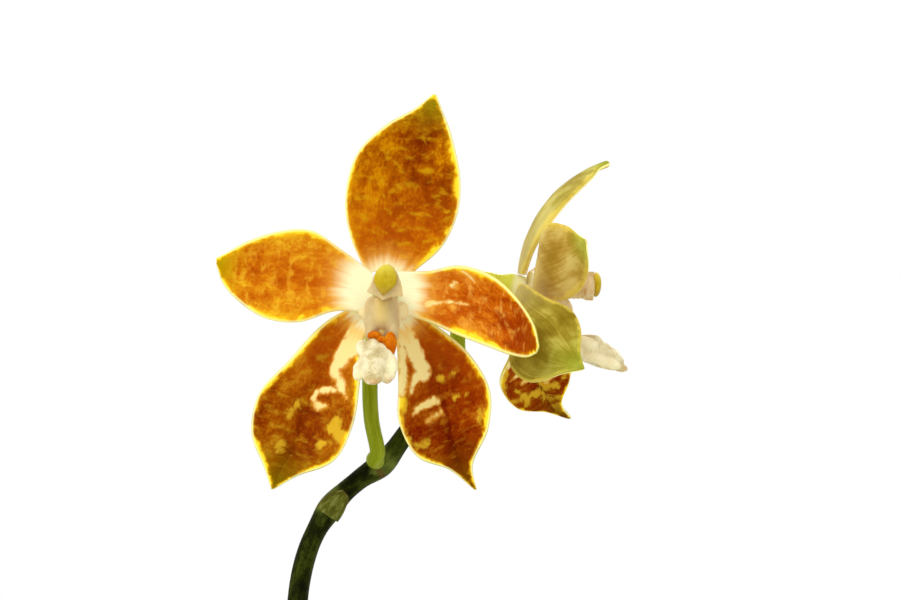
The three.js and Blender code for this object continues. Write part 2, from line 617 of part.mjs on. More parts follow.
// A pedicel starts on its node of the spike and widens into the receptacle behind the petals.
function makePedicel(name, { node, path, centre, yaw, size, rise }) {
  const joint = spikeCurve.getPointAt(SPIKE_NODES[node]);
  const tangent = spikeCurve.getTangentAt(SPIKE_NODES[node]);
  const away = new THREE.Vector3(...path[0]).sub(joint);
  away.addScaledVector(tangent, -away.dot(tangent)).normalize();
  const offset = spikeRadius(SPIKE_NODES[node]) + CLEARANCE;
  const start = [offset, offset + 1.2].map((reach) => joint.clone().addScaledVector(away, reach).toArray());
  const forward = new THREE.Vector3(Math.sin(radians(yaw)), -Math.cos(radians(yaw)), 0);
  const behind = centre.clone().addScaledVector(forward, -4.2 * size);
  behind.z += rise;
  const throat = centre.clone().addScaledVector(forward, 0.4 * size);
  const curve = curveThrough([...start, ...path, behind.toArray(), throat.toArray()]);
  const length = curve.getLength();
  const radius = (t) => {
    const left = (1 - t) * length;
    const foot = 0.35 * bump(t, 0, 0.05);
    const ovary = 0.35 * smoothstep(t, 0.35, 0.75);
    const flare = (RECEPTACLE_RADIUS * size - PEDICEL_RADIUS - 0.35) * (1 - smoothstep(left, 1.7, 4.1));
    return PEDICEL_RADIUS + foot + ovary + flare;
  };
  addPiece(`${name}_pedicel`, tubeGeometry(curve, radius, 10, 18), MATERIALS.pedicel);
}

// The two flowers: the first nearly faces the front, the smaller second one turns to the right.
// rise lifts the pedicel behind the flower; droop lowers the lip and nod the column, in degrees;
// fullness says how far the lip's lobe is swollen.
const FLOWERS = {
  flower_1: {
    centre: FLOWER_1_CENTRE, yaw: 0, size: 1, rise: 0, node: 'flower_1',
    droop: 0, fullness: 0, nod: 0, poses: {},
    path: [[-2.8, -3, 217.2], [-3.7, -1.8, 222], [-4.0, -0.4, 227.5], [-3.6, 0.6, 233], [-2.6, 0, 238.4]],
  },
  flower_2: {
    centre: FLOWER_2_CENTRE, yaw: 90, size: 0.86, rise: 1, node: 'flower_2',
    droop: 6, fullness: 1, nod: 3,
    path: [[9.2, 1.4, 227.0], [9.3, 2.2, 230.4], [9.2, 3.2, 235.0], [10.2, 4.8, 240.2], [12.6, 6.8, 242.8]],
    poses: {
      dorsal_sepal: { bend: [5, 72], turn: -6, twist: -12, cup: 1.9 },
      petal_left: { bend: [1, 38], turn: 10, twist: -28, cup: 1.5, layer: 2.6 },
      petal_right: { bend: [5, 36], turn: -9 },
      lateral_sepal_left: { bend: [-15, 55], turn: 34, twist: 50, cup: 0.9 },
      lateral_sepal_right: { bend: [-6, 46], turn: -12, twist: -85, cup: 0.9 },
    },
  },
};

makePot();
makeBark();
makeStem();
makeRoots();
makeLeaves();
makeSpike();
for (const [name, flower] of Object.entries(FLOWERS)) {
  makeFlower(name, flower);
  makePedicel(name, flower);
}

export default plant;
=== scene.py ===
import itertools
import math

import bmesh
import bpy
import numpy as np
from mathutils import Euler, Matrix, Vector


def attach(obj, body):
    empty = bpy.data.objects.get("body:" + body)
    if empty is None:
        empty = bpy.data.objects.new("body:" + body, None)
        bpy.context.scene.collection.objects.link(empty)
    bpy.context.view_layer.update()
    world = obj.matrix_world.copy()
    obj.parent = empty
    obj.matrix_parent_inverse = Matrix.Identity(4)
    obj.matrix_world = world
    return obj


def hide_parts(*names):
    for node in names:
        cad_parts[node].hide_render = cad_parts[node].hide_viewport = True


# Finer looks for the potted moth orchid. Lengths are millimetres until a mesh is made.
# The shape formulas follow the solid part, so that each fine piece keeps the form of its node.

MM = 0.001

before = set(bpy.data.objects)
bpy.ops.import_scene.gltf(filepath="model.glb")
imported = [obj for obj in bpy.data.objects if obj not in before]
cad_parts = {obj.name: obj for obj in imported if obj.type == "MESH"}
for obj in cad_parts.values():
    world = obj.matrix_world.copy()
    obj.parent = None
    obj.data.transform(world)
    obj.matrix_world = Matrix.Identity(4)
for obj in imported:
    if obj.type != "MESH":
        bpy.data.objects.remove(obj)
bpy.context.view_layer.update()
scene = bpy.context.scene

# Dimensions shared with the solid part.
CLEARANCE = 0.3
POT_HEIGHT = 88
POT_BASE_RADIUS = 36
POT_SHOULDER_RADIUS = 47.5
POT_RIM_RADIUS = 52
POT_RIM_HEIGHT = 19
POT_WALL = 4.6
POT_FLOOR = 6
DRAIN_HOLES = 3
DRAIN_RADIUS = 4.5
DRAIN_RING_RADIUS = 19
BARK_TOP = 71
BARK_CHIPS = 32
STEM_RADIUS = 6.5
STEM_FOOT = 60
STEM_TOP = 112
LEAF_THICKNESS = 2.2
PETAL_THICKNESS = 1.1
PETAL_EDGE_THICKNESS = 0.62
RECEPTACLE_RADIUS = 2.5
PEDICEL_RADIUS = 1.15
SPIKE_RADIUS = 1.55
BRACT_THICKNESS = 0.65

# How fine the meshes are: sides and rows of a tube, rows and columns of a blade.
ROOT_MESH = (28, 150)
SPIKE_MESH = (36, 520)
PEDICEL_MESH = (36, 180)
LEAF_MESH = (110, 40)
BRACT_MESH = (50, 30)
PETAL_MESH = (120, 60)


# Small numeric helpers; all work on whole arrays.
def lerp(low, high, share):
    return low + (high - low) * share


def smoothstep(x, low, high):
    share = np.clip((np.asarray(x, float) - low) / (high - low), 0, 1)
    return share * share * (3 - 2 * share)


def hill(x, centre, width):
    return np.exp(-(((x - centre) / width) ** 2))


def unit(vectors):
    return vectors / np.maximum(np.linalg.norm(vectors, axis=-1, keepdims=True), 1e-12)


# Large odd numbers that scramble the cells of the noise into 31 bits.
CELL_FACTORS = np.array([73856093, 19349663, 83492791])
SEED_FACTOR = 2654435761
MIX_FACTOR = 1274126177
LOW_BITS = 0x7FFFFFFF


def lattice_noise(points, seed):
    """Smooth noise from -1 to 1 at each point, one cell per unit."""
    points = np.asarray(points, float)
    cell = np.floor(points).astype(np.int64)
    share = points - cell
    share = share * share * (3 - 2 * share)
    total = np.zeros(points.shape[:-1])
    for corner in itertools.product((0, 1), repeat=3):
        mixed = np.bitwise_xor.reduce((cell + np.array(corner)) * CELL_FACTORS, axis=-1)
        mixed = (mixed ^ (seed * SEED_FACTOR)) & LOW_BITS
        mixed = ((mixed ^ (mixed >> 13)) * MIX_FACTOR) & LOW_BITS
        weight = np.prod(np.where(np.array(corner) == 1, share, 1 - share), axis=-1)
        total += (mixed / (LOW_BITS // 2) - 1) * weight
    return total


def rough_noise(points, size, octaves, seed):
    """Layered noise whose largest lumps are about size wide."""
    points = np.asarray(points, float) / size
    total = np.zeros(points.shape[:-1])
    for octave in range(octaves):
        total += lattice_noise(points * 2**octave + 7.3 * octave, seed + octave) / 2**octave
    return total / 1.75


def rolled(angle, height, width=1):
    """Points round a cylinder, where noise meets itself without a seam."""
    return np.stack([np.cos(angle) * width, np.sin(angle) * width, height], -1)


def spline(points, share):
    """A centripetal curve through the points, read at shares from 0 to 1."""
    points = np.asarray(points, float)
    padded = np.vstack([2 * points[0] - points[1], points, 2 * points[-1] - points[-2]])
    place = np.clip(np.asarray(share, float), 0, 1) * (len(points) - 1)
    cell = np.minimum(place.astype(int), len(points) - 2)
    s = (place - cell)[..., None]
    near = [padded[cell + k] for k in range(4)]
    d0, d1, d2 = (np.linalg.norm(b - a, axis=-1, keepdims=True) ** 0.5 for a, b in zip(near, near[1:]))
    before, low, high, after = near
    slope_in = ((low - before) / d0 - (high - before) / (d0 + d1) + (high - low) / d1) * d1
    slope_out = ((high - low) / d1 - (after - low) / (d1 + d2) + (after - high) / d2) * d1
    rise = high - low
    cubic = slope_in + slope_out - 2 * rise
    square = 3 * rise - 2 * slope_in - slope_out
    return low + slope_in * s + square * s**2 + cubic * s**3


class Path:
    """A curve through points that is read by arc length."""

    def __init__(self, points):
        self.points = points
        self.shares = np.linspace(0, 1, 2001)
        line = spline(points, self.shares)
        steps = np.linalg.norm(np.diff(line, axis=0), axis=1)
        self.reach = np.concatenate([[0], np.cumsum(steps)])
        self.length = self.reach[-1]

    def at(self, share):
        place = np.interp(np.asarray(share, float) * self.length, self.reach, self.shares)
        return spline(self.points, place)

    def tangent(self, share):
        share = np.asarray(share, float)
        small = 5e-4
        return unit(self.at(np.minimum(share + small, 1)) - self.at(np.maximum(share - small, 0)))

    def share_at(self, index):
        return np.interp(index / (len(self.points) - 1), self.shares, self.reach) / self.length

    def frames(self, share):
        """Tangents and two side directions that turn as little as they can along the path."""
        tangents = self.tangent(share)
        side = np.eye(3)[np.argmin(np.abs(tangents[0]))]
        sides = []
        for tangent in tangents:
            side = unit(side - tangent * side.dot(tangent))
            sides.append(side)
        sides = np.array(sides)
        return tangents, sides, np.cross(tangents, sides)


# Mesh builders.
def mesh_from(name, bm):
    mesh = bpy.data.meshes.new(name)
    bm.to_mesh(mesh)
    bm.free()
    return mesh


def linked(name, data):
    """An object of the scene with this mesh, light or camera."""
    made = bpy.data.objects.new(name, data)
    scene.collection.objects.link(made)
    return made


def add_piece(node, look, points, faces, fields):
    """One closed smooth mesh that stands for a node of the solid part."""
    mesh = bpy.data.meshes.new(f"{node}_fine")
    mesh.from_pydata((points * MM).tolist(), [], faces)
    bm = bmesh.new()
    bm.from_mesh(mesh)
    bmesh.ops.recalc_face_normals(bm, faces=bm.faces)
    bm.to_mesh(mesh)
    bm.free()
    for name, values in fields.items():
        values = np.asarray(values, np.float32)
        single = values.ndim == 1
        attribute = mesh.attributes.new(name, "FLOAT" if single else "FLOAT_VECTOR", "POINT")
        attribute.data.foreach_set("value" if single else "vector", values.ravel())
    mesh.shade_smooth()
    mesh.materials.append(look)
    piece = linked(f"{node}_fine", mesh)
    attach(piece, "root")
    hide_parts(node)
    return piece


def ring_faces(rows, ring):
    """Quads between rows + 1 rings of points; the ends are left open."""
    i, k = np.meshgrid(np.arange(rows), np.arange(ring), indexing="ij")
    a = i * ring + k
    b = i * ring + (k + 1) % ring
    return np.stack([a, b, b + ring, a + ring], -1).reshape(-1, 4).tolist()


def closed_faces(rows, ring):
    """The same with fans to two end points, which come after the rings."""
    faces = ring_faces(rows, ring)
    end = (rows + 1) * ring
    for k in range(ring):
        following = (k + 1) % ring
        faces.append([end, following, k])
        faces.append([end + 1, end - ring + k, end - ring + following])
    return faces


def tube(path, radius, sides, steps, skin):
    """Points, faces and fields of a closed tube; skin(t, angle) is a factor on radius(t)."""
    t = np.linspace(0, 1, steps + 1)
    _, side, other = path.frames(t)
    wide = radius(t)[:, None, None]
    angle = np.arange(sides) / sides * 2 * np.pi
    around = np.cos(angle)[None, :, None] * side[:, None] * wide
    around = around + np.sin(angle)[None, :, None] * other[:, None] * wide
    around = around * skin(*np.meshgrid(t, angle, indexing="ij"))[..., None]
    centre = path.at(t)
    points = np.vstack([(centre[:, None] + around).reshape(-1, 3), centre[0], centre[-1]])
    along = np.append(np.repeat(t, sides), [0, 1])
    turn = np.append(np.tile(angle, steps + 1), [0, 0])
    fields = {"along": along, "round": rolled(turn, along * path.length)}
    return points, closed_faces(steps, sides), fields


ROW_CROWDING = 0.6  # how much closer a blade's rows are at its ends
SIDE_SHARPNESS = 36
TIP_SHARPNESS = 70


def blade(surface, thickness, steps, columns, relief=None):
    """A thin blade with rounded edges over surface(t, u): its points, faces, t, u and face.

    The last says which face a point is on, from 0 (back) to 1 (front).
    """
    even = np.linspace(0, 1, steps + 1)
    t = lerp(even, 0.5 - 0.5 * np.cos(np.pi * even), ROW_CROWDING)
    u = np.sin(np.linspace(-1, 1, columns + 1) * np.pi / 2)
    t, u = np.meshgrid(t, u, indexing="ij")
    small = 1e-3
    along = surface(np.minimum(t + small, 1), u) - surface(np.maximum(t - small, 0), u)
    across = surface(t, np.minimum(u + small, 1)) - surface(t, np.maximum(u - small, -1))
    normal = unit(np.cross(along, across))
    middle = surface(t, u)
    if relief is not None:
        middle = middle + normal * relief(t, u, middle)[..., None]
    rounding = np.sqrt(np.clip(1 - np.abs(u) ** SIDE_SHARPNESS, 0, 1))
    rounding = rounding * np.sqrt(np.clip(1 - t**TIP_SHARPNESS, 0.02, 1))
    half = (thickness(t, u) / 2 * rounding)[..., None]

    def joined(front, back):
        return np.concatenate([front, back[:, -2:0:-1]], axis=1)

    points = joined(middle - normal * half, middle + normal * half).reshape(-1, 3)
    ring = 2 * columns
    faces = ring_faces(steps, ring)
    for start in (0, steps * ring):
        for k in range(columns):
            low, high = (ring - k) % ring, ring - k - 1
            corners = [k, k + 1, high, low]
            faces.append([start + c for c in dict.fromkeys(corners)])
    face = joined(np.ones_like(t), np.zeros_like(t))
    face[:, [0, columns]] = 0.5
    return points, faces, joined(t, t).reshape(-1), joined(u, u).reshape(-1), face.reshape(-1)


def blade_fields(t, u, half, length, offset, shift=None):
    """A blade's shares and the way to its edge, and with a shift also its millimetres.

    The offset and the shift keep the noise of one blade from being that of the next.
    """
    fields = {
        "veins": np.stack([u, t, np.full_like(t, offset)], -1),
        "edge": np.minimum((1 - np.abs(u)) * half, (1 - t) * length),
    }
    if shift is not None:
        fields["blade"] = np.stack([u * half, t * length, np.full_like(t, shift)], -1)
    return fields


def lathe(profile, segments, wobble=None):
    """Points and faces of a turned body; profile rows run from axis to axis as [radius, height]."""
    profile = np.asarray(profile, float)
    angle = np.arange(segments) / segments * 2 * np.pi
    inner = profile[1:-1]
    radius = np.repeat(inner[:, :1], segments, axis=1)
    height = np.repeat(inner[:, 1:], segments, axis=1)
    if wobble is not None:
        radius = radius + wobble(radius, height, np.broadcast_to(angle, radius.shape))
    points = np.stack([radius * np.cos(angle), radius * np.sin(angle), height], -1).reshape(-1, 3)
    points = np.vstack([points, [0, 0, profile[0, 1]], [0, 0, profile[-1, 1]]])
    return points, closed_faces(len(inner) - 1, segments)


def resampled(profile, spacing):
    """The same profile with points no further apart than spacing."""
    profile = np.asarray(profile, float)
    rows = [profile[0]]
    for low, high in zip(profile[:-1], profile[1:]):
        count = max(1, math.ceil(np.linalg.norm(high - low) / spacing))
        rows.extend(lerp(low, high, (k + 1) / count) for k in range(count))
    return np.array(rows)


def merged_balls(name, balls, voxel, smoothing, slab=None):
    """One skin over many ellipsoids; each is (centre, radii, turn in degrees).

    A slab is an outline of [x, z] corners and the two depths that it runs between.
    """
    bm = bmesh.new()
    if slab:
        outline, front, back = slab
        sides = [[bm.verts.new((x, depth, z)) for x, z in outline] for depth in (front, back)]
        bm.faces.new(sides[0])
        bm.faces.new(sides[1][::-1])
        for k in range(len(outline)):
            low, high = sides[0][k - 1], sides[0][k]
            bm.faces.new([high, low, sides[1][k - 1], sides[1][k]])
        bmesh.ops.recalc_face_normals(bm, faces=bm.faces)
    for centre, radii, turn in balls:
        turn = Euler(map(math.radians, turn)).to_matrix().to_4x4()
        place = Matrix.Translation(Vector(centre)) @ turn @ Matrix.Diagonal((*radii, 1))
        bmesh.ops.create_icosphere(bm, subdivisions=3, radius=1, matrix=place)
    raw = linked(name, mesh_from(name, bm))
    remesh = raw.modifiers.new("skin", "REMESH")
    remesh.mode = "VOXEL"
    remesh.voxel_size = voxel
    smooth = raw.modifiers.new("smooth", "SMOOTH")
    smooth.factor = 0.5
    smooth.iterations = smoothing
    graph = bpy.context.evaluated_depsgraph_get()
    skin = bpy.data.meshes.new_from_object(raw.evaluated_get(graph))
    bpy.data.objects.remove(raw)
    points, normals = np.zeros((2, len(skin.vertices) * 3))
    skin.vertices.foreach_get("co", points)
    skin.vertices.foreach_get("normal", normals)
    faces = [list(p.vertices) for p in skin.polygons]
    bpy.data.meshes.remove(skin)
    return points.reshape(-1, 3), normals.reshape(-1, 3), faces


# Node materials.
def rgb(red, green, blue):
    """A colour as it is seen on a screen, 0 to 255, as the linear colour of a node."""
    shares = [c / 255 for c in (red, green, blue)]
    linear = [c / 12.92 if c <= 0.04045 else ((c + 0.055) / 1.055) ** 2.4 for c in shares]
    return (*linear, 1)


class Look:
    """A material in the making. Each method adds a node or a few and gives the last one's output."""

    def __init__(self, name):
        self.material = bpy.data.materials.new(name)
        self.material.use_nodes = True
        self.tree = self.material.node_tree
        self.shader = self.tree.nodes["Principled BSDF"]

    def feed(self, socket, value):
        if isinstance(value, bpy.types.NodeSocket):
            self.tree.links.new(value, socket)
        else:
            socket.default_value = value

    def add(self, kind, inputs, output=0, **settings):
        node = self.tree.nodes.new("ShaderNode" + kind)
        for key, value in settings.items():
            setattr(node, key, value)
        for key, value in inputs.items():
            self.feed(node.inputs[key], value)
        return node.outputs[output]

    def field(self, name):
        return self.add("Attribute", {}, "Vector", attribute_name=name)

    def value(self, name):
        return self.add("Attribute", {}, "Fac", attribute_name=name)

    def place(self):
        return self.add("TexCoord", {}, "Object")

    def part(self, vector, axis):
        return self.add("SeparateXYZ", {0: vector}, axis)

    def scaled(self, vector, factors):
        return self.add("VectorMath", {0: vector, 1: factors}, operation="MULTIPLY")

    def noise(self, vector, scale, detail=3.0, roughness=0.55, distortion=0.0):
        """Layered noise; three factors as its scale stretch it along the axes."""
        if isinstance(scale, tuple):
            vector = self.scaled(vector, scale)
            scale = 1.0
        return self.add("TexNoise", {"Vector": vector, "Scale": scale, "Detail": detail,
                                     "Roughness": roughness, "Distortion": distortion})

    def math(self, operation, first, second=0.0):
        return self.add("Math", {0: first, 1: second}, operation=operation)

    def times(self, first, second):
        return self.math("MULTIPLY", first, second)

    def plus(self, first, second):
        return self.math("ADD", first, second)

    def size(self, value):
        return self.math("ABSOLUTE", value)

    def centred(self, value, factor):
        """How far a value is over one half, times a factor."""
        return self.times(self.math("SUBTRACT", value, 0.5), factor)

    def weighted(self, *terms):
        """The sum of terms that are each a value and its weight."""
        total = self.times(*terms[0])
        for term in terms[1:]:
            total = self.plus(total, self.times(*term))
        return total

    def span(self, value, low, high, to_low=0.0, to_high=1.0):
        return self.add("MapRange", {0: value, 1: low, 2: high, 3: to_low, 4: to_high},
                        interpolation_type="SMOOTHSTEP")

    def mix(self, share, first, second, most=None):
        """From the first colour to the second by a share, which most can scale down."""
        if most is not None:
            share = self.times(share, most)
        return self.add("Mix", {0: share, 6: first, 7: second}, 2, data_type="RGBA")

    def fade(self, colour, other, value, low, high, to_low=0.0, to_high=1.0):
        """The colour with another one over it, by a share that follows a value."""
        return self.mix(self.span(value, low, high, to_low, to_high), colour, other)

    def ramp(self, value, stops):
        output = self.add("ValToRGB", {0: value})
        band = output.node.color_ramp
        band.elements.remove(band.elements[1])
        for index, (place, colour) in enumerate(stops):
            stop = band.elements[0] if index == 0 else band.elements.new(place)
            stop.position = place
            stop.color = colour
        return output

    def shades(self, value, colours, low=0.36, high=0.64):
        """Evenly spaced colours while a value goes from low to high."""
        last = len(colours) - 1
        return self.ramp(self.span(value, low, high), [(k / last, c) for k, c in enumerate(colours)])

    def finish(self, colour, roughness, gloss=0.5, relief=None, depth=0.0, soft=None):
        """The material; relief stands depth metres high, and soft is the light inside."""
        inputs = {"Base Color": colour, "Roughness": roughness, "Specular IOR Level": gloss}
        if relief is not None:
            inputs["Normal"] = self.add("Bump", {"Height": relief, "Distance": depth, "Strength": 1.0})
        if soft is not None:
            inputs.update(zip(("Subsurface Weight", "Subsurface Radius", "Subsurface Scale"), soft))
        for key, value in inputs.items():
            self.feed(self.shader.inputs[key], value)
        return self.material


# The light inside soft tissue: its weight, the reach of red, green and blue, and their scale.
SOFT_PETAL = (0.08, (1.0, 0.7, 0.3), 0.0002)
SOFT_LEAF = (0.08, (0.5, 1.0, 0.2), 0.001)
SOFT_PEDICEL = (0.2, (0.8, 1.0, 0.3), 0.0008)
SOFT_LIP = (0.3, (1.0, 0.8, 0.5), 0.0008)
SOFT_ANTHER = (0.2, (1.0, 0.9, 0.3), 0.0006)
WAXY = 0.38  # roughness of the callus, column and anther cap


class PetalLook(Look):
    """Mottled tissue with a yellow rim that has a painted glow at its edge, a pale heart and a plainer back.
    """

    def __init__(self, name):
        super().__init__(name)
        blade_mm = self.field("blade")
        self.veins = self.field("veins")
        self.across = self.part(self.veins, 0)
        self.from_midrib = self.size(self.across)
        self.share = self.part(self.veins, 1)
        self.clouds = self.noise(blade_mm, (0.2, 0.15, 1.0))
        self.mottle = self.noise(blade_mm, (0.75, 0.62, 1.0), distortion=0.4)
        self.grain = self.noise(blade_mm, (2.6, 2.2, 1.0))
        self.flecks = self.noise(blade_mm, (0.5, 1.0, 1.0), distortion=0.3)
        self.ragged = self.centred(self.mottle, 2.2)
        self.tip_share = self.span(self.plus(self.share, self.times(self.ragged, 0.1)), 0.6, 1.0)
        rough_edge = self.plus(self.value("edge"), self.ragged)
        self.rough_edge = self.plus(rough_edge, self.centred(self.clouds, -3.0))
        self.rim_share = self.span(self.rough_edge, 0.1, 1.1, 1.0, 0.0)

    def tissue(self, front, fleck, drift):
        """The front's mottling, warmer towards the base, with short curved flecks.

        drift is how much lighter the tissue gets from the middle to its right edge and to its tip,
        and how much darker along the midrib.
        """
        to_edge, to_tip, to_midrib = drift
        tone = self.weighted((self.clouds, 0.42), (self.mottle, 0.34), (self.grain, 0.24))
        middle = self.span(self.from_midrib, 0.0, 0.75, -0.035, 0.03)
        groove = self.times(self.span(self.from_midrib, 0.0, 0.16, 1.0, 0.0),
                            self.span(self.share, 0.3, 0.8))
        middle = self.plus(middle, self.times(groove, -to_midrib))
        aside = self.times(self.across, to_edge)
        outward = self.centred(self.share, 2 * to_tip)
        middle = self.plus(middle, self.plus(aside, outward))
        tone = self.span(self.plus(tone, middle), 0.33, 0.69)
        colour = self.ramp(tone, list(zip((0.0, 0.34, 0.68, 1.0), front)))
        colour = self.fade(colour, rgb(196, 92, 8), self.share, 0.15, 0.55, 0.5, 0.0)
        return self.fade(colour, fleck, self.flecks, 0.48, 0.8, 0.0, 0.75)

    def marked(self, colour, tip, heart_reach):
        """The front's colour with its patches, tip, rim, strokes and heart."""
        # yellow patches with ragged borders
        gold = self.plus(self.value("gold"), self.times(self.ragged, 1.5))
        colour = self.fade(colour, rgb(222, 178, 40), gold, -0.4, 0.5, 0.85, 0.0)
        colour = self.mix(self.tip_share, colour, tip)
        # the rim brightens from orange to a thin pale line: the tissue's own yellow margin, with a painted
        # backlit glow in its palest outer line
        colour = self.mix(self.rim_share, colour, rgb(240, 176, 10), 0.7)
        colour = self.fade(colour, rgb(254, 226, 50), self.rough_edge, 0.0, 0.5, 0.9, 0.0)
        colour = self.fade(colour, rgb(255, 252, 170), self.value("edge"), 0.0, 0.3, 0.8, 0.0)
        # pale strokes in a warmer fringe
        stroke = self.plus(self.value("cream"), self.times(self.ragged, 0.8))
        colour = self.fade(colour, rgb(222, 150, 44), stroke, 0.05, 0.5, 0.7, 0.0)
        stroke_colour = self.fade(rgb(246, 226, 150), rgb(236, 200, 96), self.share, 0.4, 0.6)
        colour = self.fade(colour, stroke_colour, stroke, -0.25, 0.2, 1.0, 0.0)
        # the pale heart, with rays
        rays = self.noise(self.veins, (4.5, 1.8, 1.0))
        heart = self.plus(self.value("heart"), self.centred(rays, 3.0))
        near, far = heart_reach
        colour = self.fade(colour, rgb(248, 188, 72), heart, near, far + 2.2, 0.8, 0.0)
        return self.fade(colour, rgb(252, 248, 204), heart, near, far, 1.0, 0.0)

    def back(self, colours):
        fibres = self.noise(self.veins, (15.0, 1.6, 1.0), 4.0)
        colour = self.shades(self.weighted((self.clouds, 0.75), (fibres, 0.25)), colours)
        colour = self.fade(colour, rgb(224, 206, 138), self.share, 0.0, 0.45, 0.7, 0.0)
        keel = self.times(self.span(self.from_midrib, 0.0, 0.06, 0.5, 0.0), self.span(self.share, 0.6, 1.0))
        colour = self.mix(keel, colour, rgb(126, 140, 44))
        colour = self.mix(self.rim_share, colour, rgb(232, 206, 84), 0.6)
        return self.mix(self.tip_share, colour, rgb(146, 158, 40), 0.7)


def petal_look(name, front, fleck, tip, back, heart_reach, drift):
    look = PetalLook(name)
    colour = look.marked(look.tissue(front, fleck, drift), tip, heart_reach)
    colour = look.mix(look.value("face"), look.back(back), colour)
    ribs = look.math("SINE", look.times(look.across, 38.0))
    relief = look.plus(look.times(ribs, 0.2), look.grain)
    roughness = look.span(look.clouds, 0.35, 0.65, 0.42, 0.55)
    return look.finish(colour, roughness, 0.01, relief, 0.00004, SOFT_PETAL)


STRAW_BACK = (rgb(150, 126, 34), rgb(180, 164, 72), rgb(206, 192, 108))
OLIVE_BACK = (rgb(132, 108, 20), rgb(158, 138, 42), rgb(192, 176, 78))
PINK_BACK = (rgb(160, 122, 34), rgb(186, 152, 66), rgb(212, 188, 106))

PETAL_LOOKS = {
    "dorsal_sepal": petal_look(
        "dorsal_tissue", (rgb(112, 36, 0), rgb(142, 62, 0), rgb(170, 92, 0), rgb(206, 138, 2)),
        rgb(210, 158, 14), rgb(150, 128, 8), STRAW_BACK, (3.0, 6.0), (-0.05, -0.04, 0.0)),
    "petal_left": petal_look(
        "left_petal_tissue", (rgb(176, 78, 2), rgb(200, 108, 8), rgb(216, 138, 16), rgb(240, 190, 38)),
        rgb(240, 184, 44), rgb(182, 150, 0), PINK_BACK, (5.0, 8.6), (0.01, 0.0, 0.0)),
    "petal_right": petal_look(
        "right_petal_tissue", (rgb(142, 46, 0), rgb(174, 74, 2), rgb(200, 106, 12), rgb(230, 160, 46)),
        rgb(238, 172, 66), rgb(150, 66, 0), PINK_BACK, (4.4, 7.2), (0.0, -0.13, 0.0)),
    "lateral_sepal_left": petal_look(
        "left_sepal_tissue", (rgb(110, 34, 0), rgb(138, 58, 0), rgb(162, 86, 2), rgb(194, 132, 24)),
        rgb(196, 146, 26), rgb(116, 92, 0), OLIVE_BACK, (5.4, 7.2), (-0.015, -0.01, 0.07)),
    "lateral_sepal_right": petal_look(
        "right_sepal_tissue", (rgb(98, 18, 0), rgb(126, 36, 0), rgb(148, 58, 0), rgb(176, 98, 14)),
        rgb(186, 118, 20), rgb(104, 60, 0), OLIVE_BACK, (4.8, 6.8), (0.0, -0.02, 0.12)),
}


def leaf_look():
    look = Look("leaf_tissue")
    veins = look.field("veins")
    across = look.part(veins, 0)
    blade_mm = look.field("blade")
    clouds = look.noise(blade_mm, (0.05, 0.03, 1.0), 5.0)
    fibres = look.noise(veins, (26.0, 3.0, 1.0))
    grain = look.noise(blade_mm, (2.0, 1.0, 1.0), 2.0)
    tone = look.weighted((clouds, 0.6), (fibres, 0.4))
    midrib = look.span(look.size(across), 0.0, 0.09, 1.0, 0.0)
    rim = look.span(look.value("edge"), 0.1, 1.2, 1.0, 0.0)
    top = look.shades(tone, (rgb(46, 82, 26), rgb(64, 104, 36), rgb(96, 134, 54)))
    top = look.mix(midrib, top, rgb(44, 78, 26), 0.55)
    top = look.mix(rim, top, rgb(136, 150, 60), 0.5)
    under = look.shades(tone, (rgb(98, 130, 64), rgb(134, 158, 88)))
    under = look.mix(midrib, under, rgb(160, 176, 104), 0.5)
    colour = look.mix(look.value("face"), under, top)
    lines = look.math("SINE", look.times(across, 60.0))
    relief = look.plus(look.times(lines, 0.35), grain)
    return look.finish(colour, look.span(clouds, 0.35, 0.65, 0.3, 0.45), 0.4, relief, 0.0001, SOFT_LEAF)


def terracotta_look():
    look = Look("fired_clay")
    place = look.place()
    clouds = look.noise(place, 18.0, 6.0)
    grain = look.noise(place, 420.0, 4.0)
    fine = look.noise(place, 1500.0, 2.0)
    rings = look.noise(place, (2.0, 2.0, 260.0))
    colour = look.shades(clouds, (rgb(164, 84, 50), rgb(182, 100, 62), rgb(200, 124, 84)), 0.36, 0.66)
    # the lime's bloom, with more of it near the foot
    bloom = look.noise(look.scaled(place, (1.0, 1.0, 0.6)), 34.0, 6.0, 0.65)
    damp = look.span(look.part(place, 2), 0.0, 0.05, 0.08, 0.0)
    bloom_share = look.span(look.plus(bloom, damp), 0.56, 0.74)
    colour = look.mix(bloom_share, colour, rgb(222, 198, 178), 0.55)
    colour = look.mix(look.span(grain, 0.62, 0.72), colour, rgb(120, 64, 42), 0.4)
    relief = look.weighted((grain, 0.6), (fine, 0.3), (rings, 0.5))
    return look.finish(colour, look.span(bloom, 0.3, 0.7, 0.78, 0.95), 0.25, relief, 0.0003)


def bark_look():
    look = Look("pine_bark")
    place = look.place()
    clouds = look.noise(place, 90.0, 5.0)
    fibres = look.noise(look.field("layers"), (0.18, 0.5, 2.4), 5.0, 0.65)
    grain = look.noise(place, 1400.0)
    tone = look.weighted((fibres, 0.5), (clouds, 0.3), (look.value("chip"), 0.2))
    colour = look.ramp(look.span(tone, 0.32, 0.66), [
        (0.0, rgb(48, 28, 18)), (0.35, rgb(84, 50, 30)), (0.7, rgb(124, 80, 50)), (1.0, rgb(164, 118, 80))])
    relief = look.plus(fibres, look.times(grain, 0.25))
    return look.finish(colour, 0.92, 0.15, relief, 0.0008)


